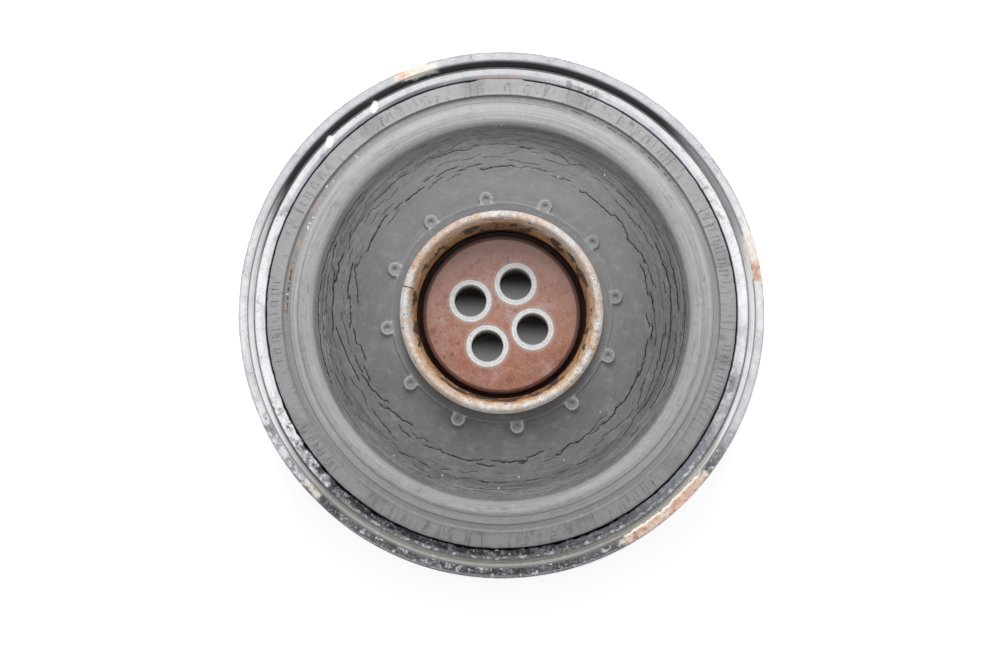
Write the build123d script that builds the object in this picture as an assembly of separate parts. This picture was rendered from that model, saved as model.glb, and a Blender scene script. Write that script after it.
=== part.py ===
"""Crankshaft belt pulley with a torsional vibration damper, decoupled by a moulded rubber dish.

Millimetres. The turning axis is Z. The part lies on the rear face of its inertia ring, at Z = 0,
and its front, where the mounting bolts go in, faces +Z.
"""
from build123d import *
import math
import os

# ---------------------------------------------------------------- driving dimensions
# Torsional vibration damper, at the rear
inertia_width = 20.0
inertia_wall = 15.5
inertia_edge = 1.2
damper_rubber_wall = 2.5
damper_rubber_inset = 1.5
damper_rubber_hollow = 0.8

# Hub
carrier_wall = 4.0
carrier_rear_inset = 1.0
thrust_flange_gap = 2.0
thrust_flange_width = 8.0
thrust_flange_thickness = 3.0
web_rear_height = 18.0
web_thickness = 8.0
web_rounding = 4.0
snout_wall = 6.0
snout_length = 12.0
pilot_radius = 23.0
pilot_edge = 0.8
disc_radius = 26.3
disc_chamfer = 1.5
disc_recess = 16.0
boss_step = 1.7
boss_seat_length = 12.0

# Mounting bolts
bolt_count = 4
bolt_circle_diameter = 22.6
bolt_hole_radius = 5.25
bolt_seat_radius = 7.1
bolt_seat_depth = 0.2
bolt_pattern_turn = -24.5

# Collar
collar_wall = 5.5
collar_stand = 5.7
collar_foot_edge = 0.8
mouth_flare = 2.6
mouth_depth = 11.0
lip_outer_rounding = 1.9
lip_inner_rounding = 1.1

# Belt rim
rim_outer_radius = 86.9
rim_section = 9.0
rim_gap = 3.5
rib_count = 6
rib_pitch = 3.56
groove_angle = 40.0
groove_depth = 2.9
groove_floor = 0.5
groove_edge_distance = 2.6
rib_tip_drop = 1.5
front_flange = 3.0
rear_flange = 2.5
flange_taper = 0.35
flange_inner_drop = 2.8
flange_rise = 0.6
land_width = 3.4
land_rise = 1.0
land_fall = 0.9
land_edge = 0.3
trough_lead = 0.4
trough_depth = 1.8
rim_skirt_wall = 7.4
rim_shoulder = 2.5
rim_web_span = 6.4
rim_web_thickness = 5.0
rim_web_rounding = 2.0

# Slide bearing between the belt rim and the hub
bush_wall = 1.65
bush_length = 13.5
running_clearance = 0.05
bearing_sleeve_wall = 3.3
thrust_ring_thickness = 2.0
thrust_ring_width = 6.5

# Metal that the decoupler's rubber is bonded to
bond_ring_wall = 2.0
bond_ring_depth = 15.0
bond_ring_bend = 2.6
bond_flange_fall = 2.0
bond_sleeve_wall = 1.8
bond_sleeve_length = 19.0
bond_sleeve_flange = 2.0

# Decoupler rubber, with rises above the rim's front corner
rubber_skin = 1.2
rubber_edge_gap = 0.45
band_rise_outer = 1.0
band_rise_inner = 3.3
band_inner_drop = 5.7
band_step = 1.0
bead_setback = 8.0
bead_rise = 4.8
bead_edge_setback = 1.9
bead_edge_drop = 0.9
bead_edge_slope = 38.0
valley_setback = 6.9
valley_rise = 1.1
dish_thickness = 8.0
dish_fall = 12.0
plateau_rise = 4.3
plateau_height = 0.7
plateau_land = 1.3
plateau_skin = 2.2

# Moulded lugs round the collar
lug_count = 12
lug_radius = 2.45
lug_offset = 1.3
lug_turn = -22.2
lug_blend = 0.8
dimple_radius = 1.0
dimple_depth = 0.9

# ---------------------------------------------------------------- heights
thrust_flange_height = inertia_width + thrust_flange_gap
thrust_ring_height = thrust_flange_height + thrust_flange_thickness
rim_web_height = thrust_ring_height + thrust_ring_thickness
rim_rear = inertia_width + rim_gap
track_width = (rib_count - 1) * rib_pitch + 2 * groove_edge_distance
rim_front = rim_rear + rear_flange + track_width + front_flange
bond_ring_foot = rim_front - bond_ring_depth
plateau_top = rim_front + plateau_rise
collar_top = plateau_top + collar_stand
disc_face = collar_top - disc_recess
web_front_height = web_rear_height + web_thickness
boss_seat_top = web_front_height + boss_seat_length
bush_top = rim_web_height + bush_length

# ---------------------------------------------------------------- radii
boss_radius = disc_radius + boss_step
collar_radius = boss_radius + collar_wall
bond_sleeve_radius = collar_radius + bond_sleeve_wall
plateau_radius = bond_sleeve_radius + plateau_land
lug_circle_radius = plateau_radius + lug_offset
rim_bore = rim_outer_radius - rim_section
rim_skirt_bore = rim_outer_radius - rim_skirt_wall
rim_shoulder_bore = rim_bore - rim_shoulder
rib_tip_radius = rim_outer_radius - rib_tip_drop
bearing_sleeve_radius = rim_shoulder_bore - rim_web_span
bearing_sleeve_bore = bearing_sleeve_radius - bearing_sleeve_wall
bush_radius = bearing_sleeve_bore - running_clearance
carrier_radius = bush_radius - bush_wall
carrier_bore = carrier_radius - carrier_wall
thrust_flange_radius = carrier_radius + thrust_flange_width
inertia_bore = carrier_radius + damper_rubber_wall
inertia_radius = inertia_bore + inertia_wall
band_outer_radius = rim_bore - rubber_edge_gap
band_inner_radius = rim_bore - band_inner_drop
bead_radius = band_inner_radius - bead_setback
valley_radius = bead_radius - valley_setback


# ---------------------------------------------------------------- helpers
def revolved(face):
    """Turn a face drawn as (radius, height) once round the axis."""
    return revolve(Plane.XZ * face, Axis.Z)


def turned(corners):
    """A turned solid from its section's corners.

    Each corner is (radius, height), and a broken one adds its size and fillet or chamfer.
    """
    face = make_face(Polyline(*[(radius, height) for radius, height, *_ in corners], close=True))
    for radius, height, *broken in corners:
        if broken:
            size, cut = broken
            face = cut(face.vertices().sort_by_distance((radius, height, 0))[0], size)
    return revolved(face)


def upright_cylinder(radius, bottom, top):
    """A cylinder on the axis between two heights."""
    foot = Pos(0, 0, bottom)
    return foot * Cylinder(radius, top - bottom, align=(Align.CENTER, Align.CENTER, Align.MIN))


# ---------------------------------------------------------------- hub
def make_hub():
    snout_radius = pilot_radius + snout_wall
    snout_rear = web_rear_height - snout_length
    body = turned([
        (0, web_rear_height),
        (pilot_radius, web_rear_height),
        (pilot_radius, snout_rear, pilot_edge, chamfer),
        (snout_radius, snout_rear, pilot_edge, chamfer),
        (snout_radius, web_rear_height, web_rounding, fillet),
        (carrier_bore, web_rear_height, web_rounding, fillet),
        (carrier_bore, carrier_rear_inset),
        (carrier_radius, carrier_rear_inset, pilot_edge, chamfer),
        (carrier_radius, thrust_flange_height),
        (thrust_flange_radius, thrust_flange_height, pilot_edge, chamfer),
        (thrust_flange_radius, thrust_ring_height),
        (carrier_radius, thrust_ring_height),
        (carrier_radius, bush_top, pilot_edge, chamfer),
        (carrier_bore, bush_top, pilot_edge, chamfer),
        (carrier_bore, web_front_height, web_rounding, fillet),
        (boss_radius, web_front_height),
        (boss_radius, boss_seat_top),
        (disc_radius, boss_seat_top),
        (disc_radius, disc_face, disc_chamfer, chamfer),
        (0, disc_face),
    ])
    holes = upright_cylinder(bolt_hole_radius, web_rear_height, disc_face)
    holes += upright_cylinder(bolt_seat_radius, disc_face - bolt_seat_depth, disc_face)
    pattern = PolarLocations(bolt_circle_diameter / 2, bolt_count, start_angle=bolt_pattern_turn)
    for place in pattern:
        body -= place * holes
    return body


# ---------------------------------------------------------------- collar
def make_collar():
    mouth_radius = boss_radius + mouth_flare
    lip_radius = (mouth_radius + collar_radius) / 2
    lip_start = collar_top - lip_inner_rounding
    flare = Spline(
        (boss_radius, collar_top - mouth_depth),
        (mouth_radius, lip_start),
        tangents=[(0, 1), (mouth_flare, mouth_depth / 2)],
    )
    lip = Spline(
        (mouth_radius, lip_start),
        (lip_radius, collar_top),
        (collar_radius, collar_top - lip_outer_rounding),
        tangents=[(mouth_flare, mouth_depth / 2), (0, -1)],
    )
    body = Polyline(
        (collar_radius, collar_top - lip_outer_rounding),
        (collar_radius, web_front_height + collar_foot_edge),
        (collar_radius - collar_foot_edge, web_front_height),
        (boss_radius, web_front_height),
        (boss_radius, collar_top - mouth_depth),
    )
    return revolved(make_face(Curve() + [flare, lip, body]))


# ---------------------------------------------------------------- metal bonded to the rubber
def make_inner_bond_sleeve():
    top = plateau_top - plateau_skin
    flange_radius = bond_sleeve_radius + bond_sleeve_flange
    return turned([
        (collar_radius, top),
        (collar_radius, top - bond_sleeve_length),
        (bond_sleeve_radius, top - bond_sleeve_length),
        (bond_sleeve_radius, top - bond_sleeve_wall),
        (flange_radius, top - bond_sleeve_wall),
        (flange_radius, top),
    ])


def make_outer_bond_ring():
    shoulder_height = rim_front + band_rise_outer - rubber_skin
    flange_height = shoulder_height + bond_flange_fall
    inner_wall = rim_bore - bond_ring_wall
    return turned([
        (rim_bore, bond_ring_foot),
        (rim_bore, shoulder_height, bond_ring_bend, fillet),
        (bead_radius + rubber_skin, flange_height),
        (bead_radius + rubber_skin, flange_height - bond_ring_wall),
        (inner_wall, shoulder_height - bond_ring_wall, bond_ring_bend - bond_ring_wall, fillet),
        (inner_wall, bond_ring_foot),
    ])


# ---------------------------------------------------------------- decoupler rubber
def rubber_section():
    """The moulded section, as if no metal lay in it."""
    dish_edge = (plateau_radius, plateau_top - plateau_height)
    valley = (valley_radius, rim_front + valley_rise)
    bead_crest = (bead_radius, rim_front + bead_rise)
    band_top = (band_inner_radius, rim_front + band_rise_inner)
    band_foot = (band_inner_radius, rim_front + band_rise_inner - band_step)
    skirt_height = bond_ring_foot + rubber_skin
    skirt_radius = rim_bore - bond_ring_wall - rubber_skin
    edge_height = rim_front + band_rise_outer
    flange_rear = edge_height - 2 * rubber_skin - bond_ring_wall
    bead_rear = (bead_radius, flange_rear + bond_flange_fall)
    foot_height = plateau_top - plateau_skin - bond_sleeve_length
    foot_radius = bond_sleeve_radius + rubber_skin
    bead_edge = (bead_radius - bead_edge_setback, rim_front + bead_rise - bead_edge_drop)
    level = (1, 0)
    inner_slope = (1, -math.tan(math.radians(dish_fall)))
    edge_slope = (1, math.tan(math.radians(bead_edge_slope)))
    front = [
        Spline(dish_edge, valley, tangents=[inner_slope, level]),
        Spline(valley, bead_edge, tangents=[level, edge_slope]),
        Spline(bead_edge, bead_crest, tangents=[edge_slope, level]),
        Spline(bead_crest, band_foot, tangents=[level, level]),
    ]
    band = Polyline(
        band_foot,
        band_top,
        (band_outer_radius, edge_height),
        (band_outer_radius, edge_height - rubber_skin),
        (rim_bore - bond_ring_wall / 2, edge_height - 2 * rubber_skin),
        (rim_bore - bond_ring_wall, skirt_height),
        (skirt_radius, skirt_height),
        (skirt_radius, flange_rear),
        bead_rear,
    )
    rear = Spline(
        bead_rear,
        (valley_radius, rim_front + valley_rise - dish_thickness),
        (foot_radius + dish_thickness, rim_front + valley_rise - dish_thickness - rubber_skin),
        (foot_radius, foot_height),
        tangents=[(-1, -0.25), (0, -1)],
    )
    foot = Polyline(
        (foot_radius, foot_height),
        (collar_radius, foot_height),
        (collar_radius, plateau_top - plateau_height),
        dish_edge,
    )
    return make_face(Curve() + front + [band, rear, foot])


def make_lug_plateau():
    """The raised ring round the collar, with its lugs, and the dimples in them."""
    bottom = plateau_top - plateau_height
    lugs = PolarLocations(lug_circle_radius, lug_count, start_angle=lug_turn)
    outline = Circle(plateau_radius) + lugs * Circle(lug_radius)
    necks = [
        corner for corner in outline.vertices()
        if abs(Vector(corner.X, corner.Y, 0).length - plateau_radius) < lug_blend / 10
    ]
    outline = fillet(necks, lug_blend) - Circle(collar_radius)
    plateau = Pos(0, 0, bottom) * extrude(outline, plateau_height)
    dimple = upright_cylinder(dimple_radius, plateau_top - dimple_depth, plateau_top)
    return plateau, [place * dimple for place in lugs]


def make_decoupler_rubber(outer_bond_ring, inner_bond_sleeve):
    plateau, dimples = make_lug_plateau()
    rubber = revolved(rubber_section()) + plateau
    for dimple in dimples:
        rubber -= dimple
    return rubber - outer_bond_ring - inner_bond_sleeve


# ---------------------------------------------------------------- belt rim
def belt_track():
    """Corners of the belt grooves, from the front flange to the rear one."""
    half_floor = groove_floor / 2
    half_mouth = half_floor + groove_depth * math.tan(math.radians(groove_angle / 2))
    floor_radius = rib_tip_radius - groove_depth
    first = rim_front - front_flange - groove_edge_distance
    corners = []
    for groove in range(rib_count):
        centre = first - groove * rib_pitch
        corners += [
            (rib_tip_radius, centre + half_mouth),
            (floor_radius, centre + half_floor),
            (floor_radius, centre - half_floor),
            (rib_tip_radius, centre - half_mouth),
        ]
    return corners


def make_pulley_rim():
    flange_lean = rib_tip_drop * flange_taper
    front_track_edge = rim_front - front_flange
    rear_track_edge = rim_rear + rear_flange
    web_top = rim_web_height + rim_web_thickness
    return turned([
        (rim_outer_radius, rim_front),
        (rim_outer_radius, front_track_edge + flange_lean),
        (rib_tip_radius, front_track_edge),
        *belt_track(),
        (rib_tip_radius, rear_track_edge),
        (rim_outer_radius, rear_track_edge - flange_lean),
        (rim_outer_radius, rim_rear, land_edge, chamfer),
        (rim_skirt_bore, rim_rear),
        (rim_skirt_bore, rim_web_height),
        (bearing_sleeve_bore, rim_web_height),
        (bearing_sleeve_bore, bush_top),
        (bearing_sleeve_radius, bush_top),
        (bearing_sleeve_radius, web_top, rim_web_rounding, fillet),
        (rim_shoulder_bore, web_top, rim_web_rounding, fillet),
        (rim_shoulder_bore, bond_ring_foot),
        (rim_bore, bond_ring_foot),
        (rim_bore, rim_front + land_rise - land_edge),
        (rim_bore + land_edge, rim_front + land_rise),
        (rim_bore + land_width, rim_front + land_rise - land_fall),
        (rim_bore + land_width + trough_lead, rim_front - trough_depth),
        (rim_outer_radius - flange_inner_drop, rim_front + flange_rise, land_edge, chamfer),
    ])


# ---------------------------------------------------------------- slide bearing
def make_slide_bush():
    return turned([
        (carrier_radius, rim_web_height),
        (bush_radius, rim_web_height),
        (bush_radius, bush_top),
        (carrier_radius, bush_top),
    ])


def make_thrust_ring():
    inner = thrust_flange_radius - thrust_ring_width
    return turned([
        (inner, thrust_ring_height),
        (thrust_flange_radius, thrust_ring_height),
        (thrust_flange_radius, rim_web_height),
        (inner, rim_web_height),
    ])


# ---------------------------------------------------------------- vibration damper
def make_damper_rubber():
    front = inertia_width - damper_rubber_inset
    middle = (carrier_radius + inertia_bore) / 2
    rear_face = ThreePointArc(
        (carrier_radius, damper_rubber_inset),
        (middle, damper_rubber_inset + damper_rubber_hollow),
        (inertia_bore, damper_rubber_inset),
    )
    front_face = ThreePointArc(
        (inertia_bore, front),
        (middle, front - damper_rubber_hollow),
        (carrier_radius, front),
    )
    outer_face = Line((inertia_bore, damper_rubber_inset), (inertia_bore, front))
    inner_face = Line((carrier_radius, front), (carrier_radius, damper_rubber_inset))
    return revolved(make_face(Curve() + [rear_face, outer_face, front_face, inner_face]))


def make_inertia_ring():
    return turned([
        (inertia_bore, 0, inertia_edge / 2, chamfer),
        (inertia_radius, 0, inertia_edge, chamfer),
        (inertia_radius, inertia_width, inertia_edge, chamfer),
        (inertia_bore, inertia_width, inertia_edge / 2, chamfer),
    ])


# ---------------------------------------------------------------- all the pieces
def make_parts():
    outer_bond_ring = make_outer_bond_ring()
    inner_bond_sleeve = make_inner_bond_sleeve()
    return {
        "hub": make_hub(),
        "collar": make_collar(),
        "inner_bond_sleeve": inner_bond_sleeve,
        "outer_bond_ring": outer_bond_ring,
        "decoupler_rubber": make_decoupler_rubber(outer_bond_ring, inner_bond_sleeve),
        "pulley_rim": make_pulley_rim(),
        "slide_bush": make_slide_bush(),
        "thrust_ring": make_thrust_ring(),
        "damper_rubber": make_damper_rubber(),
        "inertia_ring": make_inertia_ring(),
    }


os.makedirs("parts", exist_ok=True)
for node, shape in make_parts().items():
    export_step(shape, f"parts/{node}.step")
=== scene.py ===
# %% [markdown]
# # A belt pulley with a rubber decoupler
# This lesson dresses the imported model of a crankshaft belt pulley. On the car it drives the belt,
# and its rubber takes the jerks out of the engine's turning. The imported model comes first,
# because every piece below has to sit exactly where the model's own piece sits.

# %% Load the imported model
import bpy
import functools
import itertools
import math
import numpy as np
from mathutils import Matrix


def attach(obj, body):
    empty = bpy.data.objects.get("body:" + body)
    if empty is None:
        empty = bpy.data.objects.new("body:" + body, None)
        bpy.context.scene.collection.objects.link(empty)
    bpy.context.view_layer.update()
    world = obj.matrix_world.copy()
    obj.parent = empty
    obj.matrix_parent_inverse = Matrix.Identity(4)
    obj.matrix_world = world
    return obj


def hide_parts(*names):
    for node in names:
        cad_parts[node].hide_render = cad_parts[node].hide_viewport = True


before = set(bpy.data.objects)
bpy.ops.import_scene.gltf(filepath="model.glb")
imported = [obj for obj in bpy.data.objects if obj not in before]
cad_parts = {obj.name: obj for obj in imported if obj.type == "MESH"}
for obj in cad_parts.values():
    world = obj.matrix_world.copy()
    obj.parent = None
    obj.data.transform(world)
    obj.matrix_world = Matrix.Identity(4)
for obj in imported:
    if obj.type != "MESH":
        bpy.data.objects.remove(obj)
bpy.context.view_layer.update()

MM = 0.001


def put(name, data):
    """A new object in the scene."""
    made = bpy.data.objects.new(name, data)
    bpy.context.scene.collection.objects.link(made)
    return made


# %% [markdown]
# ## Camera
# The camera looks almost straight down the turning axis, leaning a few degrees towards the
# near side. It is nearly two metres off with a long lens, so that the circles stay round. Its
# aim is a point beside the axis, which sets the pulley a little above the frame's middle.

# %% Camera
RIM_FRONT = 52.0
camera_distance = 1.8
camera_lean = math.radians(3.6)
aim = (-0.50 * MM, -6.6 * MM, RIM_FRONT * MM)
camera = put("camera", bpy.data.cameras.new("camera"))
camera.data.sensor_width = 36.0
camera.data.lens = 196.3
camera.data.clip_start = 0.01
back, up = camera_distance * math.sin(camera_lean), camera_distance * math.cos(camera_lean)
camera.location = (aim[0], aim[1] - back, aim[2] + up)
camera.rotation_euler = (camera_lean, 0, 0)
bpy.context.scene.camera = camera
bpy.context.scene.view_settings.view_transform = "Standard"
print("camera at", [round(value, 3) for value in camera.location])

# %% [markdown]
# ## Shader maths
# A finish such as rust is mostly arithmetic on noise and on distance. One small class lets a
# socket stand in an expression, where every + or * adds its Math node. A second class adds any
# other node with one method.

# %% A socket that can be added and multiplied
class Value:
    """A shader output that takes part in arithmetic."""

    def __init__(self, finish, socket):
        self.finish, self.socket = finish, socket

    def maths(self, operation, other=0.0):
        return self.finish.node("Math", {0: self, 1: other}, operation=operation)

    def __rsub__(self, other):
        return self.finish.node("Math", {0: other, 1: self}, operation="SUBTRACT")

    def ramp(self, low, high, start=0.0, end=1.0):
        """Goes smoothly from start to end while this goes from low to high; low may be the larger."""
        ends = {"Value": self, "From Min": low, "From Max": high, "To Min": start, "To Max": end}
        return self.finish.node("MapRange", ends, interpolation_type="SMOOTHSTEP")

    def band(self, low, high, soft):
        """One between low and high and nought outside, with soft edges."""
        return self.ramp(low - soft, low + soft) * self.ramp(high + soft, high - soft)

    def facing(self, middle, half, soft):
        """One where this bearing is within half of the middle, and nought beyond."""
        off = (self - (middle - 180)).wrap(360.0) - 180
        return abs(off).ramp(half + soft, half - soft)

    def other(self, name):
        """Another output of the same node."""
        return Value(self.finish, self.socket.node.outputs[name])


operations = {
    "__add__": "ADD", "__radd__": "ADD", "__sub__": "SUBTRACT", "__mul__": "MULTIPLY",
    "__rmul__": "MULTIPLY", "__truediv__": "DIVIDE", "__pow__": "POWER", "__abs__": "ABSOLUTE",
    "least": "MINIMUM", "most": "MAXIMUM", "wrap": "FLOORED_MODULO",
}
for method, operation in operations.items():
    setattr(Value, method, functools.partialmethod(Value.maths, operation))


def any_of(masks):
    """One where any of the masks is one."""
    return functools.reduce(Value.most, masks)


def colour(*levels):
    """A colour from 0 to 255 levels, as a painter's chart gives it, in linear light."""
    parts = [level / 255 for level in levels]
    linear = [v / 12.92 if v <= 0.04045 else ((v + 0.055) / 1.055) ** 2.4 for v in parts]
    return (*linear, 1.0)


class Finish:
    """A node tree, and one method that adds any node to it."""

    def __init__(self, name, owner=None):
        self.owner = owner or bpy.data.materials.new(name)
        self.owner.use_nodes = True
        self.tree = self.owner.node_tree
        self.tree.nodes.clear()

    def node(self, kind, sockets=None, out=0, **settings):
        made = self.tree.nodes.new("ShaderNode" + kind)
        for name, setting in settings.items():
            setattr(made, name, setting)
        for name, value in (sockets or {}).items():
            if isinstance(value, Value):
                self.tree.links.new(value.socket, made.inputs[name])
            else:
                made.inputs[name].default_value = value
        return Value(self, made.outputs[out]) if len(made.outputs) else None

    def mix(self, factor, *paints):
        """One colour over another, by a factor. Each is a value or its three levels."""
        first, second = [paint if isinstance(paint, Value) else colour(*paint) for paint in paints]
        return self.node("Mix", {0: factor, 6: first, 7: second}, 2, data_type="RGBA")

    def layered(self, tone, *layers):
        """Lays (mask, value) or (mask, red, green, blue) layers over a tone, in their order."""
        for mask, *paint in layers:
            tone = self.mix(mask, tone, paint[0] if len(paint) == 1 else paint)
        return tone


print("shader helpers ready")

# %% [markdown]
# ## Floor and light
# The pulley lies on a white table. The table shows white to the camera, less the shadow that
# the pulley throws, and stays ordinary paper to everything else. Under the pulley it is dark,
# with a grey patch behind each bolt hole for the little light that falls through. One large
# soft lamp stands behind the pulley, high up, and the room gives the rest: bright walls left
# and right, and a darker side where the camera stands. The metal needs that difference to
# read as metal. The lamp is kept out of the reflections, where it would burn a white patch.

# %% Table
table_radius, table_corners = 4.0, 96
turns = np.linspace(0, 2 * math.pi, table_corners, endpoint=False)
sheet = bpy.data.meshes.new("table")
edge = [(table_radius * math.cos(turn), table_radius * math.sin(turn), 0.0) for turn in turns]
sheet.from_pydata(edge, [], [tuple(range(table_corners))])
table = put("table", sheet)
bolt_circle, bolt_turn, bolt_count = 11.3, math.radians(-24.5), 4
patch_shift = 2.9
white = Finish("table_white")
place = white.node("TexCoord", out="Object")


def light_through(hole):
    """The grey patch of light that shows through one bolt hole."""
    angle = 2 * math.pi * hole / bolt_count + bolt_turn
    middle = (bolt_circle * MM * math.cos(angle), (bolt_circle * math.sin(angle) + patch_shift) * MM, 0)
    off = white.node("VectorMath", {0: place, 1: middle}, operation="SUBTRACT")
    aside = white.node("SeparateXYZ", {0: off})
    down = aside * -0.05 - aside.other("Y") * 0.95
    away = white.node("VectorMath", {0: off}, "Value", operation="LENGTH")
    return away.ramp(0.008, 0.006) * down.ramp(-0.0022, 0.0055, 0.0, 0.25)


reach = white.node("VectorMath", {0: place}, "Value", operation="LENGTH")
lit = reach.ramp(0.060, 0.084).most(any_of([light_through(hole) for hole in range(bolt_count)]))
ray = white.node("LightPath", out="Is Camera Ray")
seen = ray.most(ray.other("Is Glossy Ray")).most(ray.other("Is Transmission Ray")) * lit
paper = white.node("BsdfDiffuse", {"Color": colour(236, 236, 236)})
glow = white.node("Emission", {"Color": (1, 1, 1, 1), "Strength": 0.72})
both = white.node("AddShader", {0: paper, 1: glow})
white.node("OutputMaterial", {"Surface": white.node("MixShader", {0: seen, 1: paper, 2: both})})
sheet.materials.append(white.owner)
print("table laid")

# %% Room light and lamp
room = bpy.data.worlds.new("room")
bpy.context.scene.world = room
walls = Finish("room", room)
across = walls.node("SeparateXYZ", {0: walls.node("TexCoord", out="Generated")})
away = across.other("Y")
side_walls = abs(across).ramp(0.05, 0.42)
near_side = away.ramp(-0.05, -0.80)
fill = 0.40 + side_walls * 0.14 - near_side * 0.16
mirrored = 0.42 + away.ramp(-0.15, 0.45) * 0.22 - near_side * 0.30
mirrored = mirrored + side_walls * (1.02 - mirrored)
ray = walls.node("LightPath", out="Is Camera Ray")
level = fill + ray.other("Is Glossy Ray") * (mirrored - fill)
tint = walls.node("CombineColor", {0: level, 1: level, 2: level * 1.02})
shown = walls.mix(ray, tint, (255, 255, 255))
walls.node("OutputWorld", {"Surface": walls.node("Background", {"Color": shown})})

lamp = bpy.data.lights.new("key_lamp", "AREA")
lamp.shape = "SQUARE"
lamp.size, lamp.energy = 0.9, 19.5
lamp_distance, lamp_bearing, lamp_height = 1.6, math.radians(91), math.radians(43)
flat = lamp_distance * math.cos(lamp_height)
key = put("key_lamp", lamp)
key.location = (
    flat * math.cos(lamp_bearing), flat * math.sin(lamp_bearing), lamp_distance * math.sin(lamp_height)
)
key.rotation_euler = (math.pi / 2 - lamp_height, 0, lamp_bearing + math.pi / 2)
key.visible_glossy = False
print("lamp at", [round(value, 2) for value in key.location])

# %% [markdown]
# ## Turning a section
# Nearly all of this object was turned on a lathe or moulded round an axis. So one Geometry
# Nodes tree makes most pieces: it sweeps a closed section round a circle, whose tiny radius is
# taken off the section first. The sweep gives even columns of points, which later steps push
# in to make pits, cracks and chips. Two more trees follow, so one function builds a tree.

# %% The turning tree
HAIR = 0.001


def make_tree(name, inputs, nodes, wires, values):
    """A tree that puts out one painted piece. Sockets are written "node.Socket", target first."""
    tree = bpy.data.node_groups.new(name, "GeometryNodeTree")
    for socket, kind in inputs.items():
        tree.interface.new_socket(socket, in_out="INPUT", socket_type="NodeSocket" + kind)
    tree.interface.new_socket("Piece", in_out="OUTPUT", socket_type="NodeSocketGeometry")
    made = {"inputs": tree.nodes.new("NodeGroupInput"), "outputs": tree.nodes.new("NodeGroupOutput")}
    for label, kind in {**nodes, "real": "RealizeInstances", "paint": "SetMaterial"}.items():
        made[label] = tree.nodes.new(("Shader" if kind == "NodeCombineXYZ" else "GeometryNode") + kind)
    last = {"paint.Geometry": "real.Geometry", "paint.Material": "inputs.Finish"}
    for into, source in {**wires, **last, "outputs.Piece": "paint.Geometry"}.items():
        (node, socket), (sender, output) = into.split("."), source.split(".")
        tree.links.new(made[sender].outputs[output], made[node].inputs[socket])
    for into, value in values.items():
        node, socket = into.split(".")
        if socket in made[node].inputs:
            made[node].inputs[socket].default_value = value
        else:
            setattr(made[node], socket, value)
    print("tree", name, "has", len(tree.nodes), "nodes")
    return tree


def apply_tree(thing, tree, values):
    """Runs a tree on an object, removes the object and returns the plain mesh that was made."""
    modifier = thing.modifiers.new(tree.name, "NODES")
    modifier.node_group = tree
    for socket in tree.interface.items_tree:
        if socket.in_out == "INPUT" and socket.name in values:
            modifier[socket.identifier] = values[socket.name]
    depsgraph = bpy.context.evaluated_depsgraph_get()
    mesh = bpy.data.meshes.new_from_object(thing.evaluated_get(depsgraph))
    bpy.data.objects.remove(thing)
    return mesh


turn_tree = make_tree(
    "turn_a_section",
    {"Section": "Geometry", "Columns": "Int", "Finish": "Material"},
    {
        "circle": "CurvePrimitiveCircle", "section": "MeshToCurve", "sweep": "CurveToMesh",
        "weld": "MergeByDistance",
    },
    {
        "circle.Resolution": "inputs.Columns", "section.Mesh": "inputs.Section",
        "sweep.Curve": "circle.Curve", "sweep.Profile Curve": "section.Curve",
        "weld.Geometry": "sweep.Mesh", "real.Geometry": "weld.Geometry",
    },
    {"circle.Radius": HAIR, "weld.Distance": 1e-6},
)

# %% [markdown]
# A section is typed as its corners. Each corner may have a rounding, because no real edge is
# sharp, and a spacing, the longest run without a point after it. Runs that stay plain get no
# points between, and runs that will be pitted get many.

# %% Sections and turned pieces
def section(*corners):
    """Points of a closed section, from (radius, height, rounding, spacing) corners."""
    corners = [(*corner, 0, 0)[:4] for corner in corners]
    places = [np.array(corner[:2], float) for corner in corners]
    arcs = []
    for index, (_, _, rounding, _) in enumerate(corners):
        here = places[index]
        if not rounding:
            arcs.append([here])
            continue
        ways = [places[index - 1] - here, places[(index + 1) % len(places)] - here]
        start, end = [here + way / np.linalg.norm(way) * rounding for way in ways]
        steps = np.linspace(0, 1, 5)
        arcs.append([(1 - t) ** 2 * start + 2 * t * (1 - t) * here + t * t * end for t in steps])
    points = []
    for index, (_, _, _, spacing) in enumerate(corners):
        points += arcs[index]
        start, end = arcs[index][-1], arcs[(index + 1) % len(arcs)][0]
        count = math.ceil(np.linalg.norm(end - start) / spacing) if spacing else 1
        points += [start + (end - start) * k / count for k in range(1, count)]
    print("a section of", len(points), "points")
    return np.array(points)


def turned(name, points, columns, finish):
    """A piece turned from section points in millimetres."""
    mesh = bpy.data.meshes.new(name + "_section")
    flat = [(radius * MM - HAIR, -height * MM, 0) for radius, height in points]
    mesh.from_pydata(flat, [(index, (index + 1) % len(flat)) for index in range(len(flat))], [])
    solid = apply_tree(put(name + "_wire", mesh), turn_tree, {"Columns": columns, "Finish": finish})
    solid.name = name
    return put(name, solid)


def settle(piece, sharp, node):
    """Shades a piece smooth between its sharp edges, hangs it on the root and hides the model's piece that
    it stands for.
    """
    piece.data.shade_smooth()
    piece.data.set_sharp_from_angle(angle=math.radians(sharp))
    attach(piece, "root")
    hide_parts(node)
    print(piece.name, "has", len(piece.data.polygons), "faces")


def read_points(piece):
    """A piece's points in millimetres."""
    flat = np.empty(3 * len(piece.data.vertices))
    piece.data.vertices.foreach_get("co", flat)
    return flat.reshape(-1, 3) / MM


def write_points(piece, points):
    piece.data.vertices.foreach_set("co", (points * MM).ravel())
    piece.data.update()


print("section helpers ready")

# %% [markdown]
# ## Noise for shapes
# Pits and cracks are real dents in the mesh, not only shading. They come from a lattice of
# random numbers with smooth passages between, like the shader's noise, but worked out here so
# that it can move points. A fixed seed makes every run the same.

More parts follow.
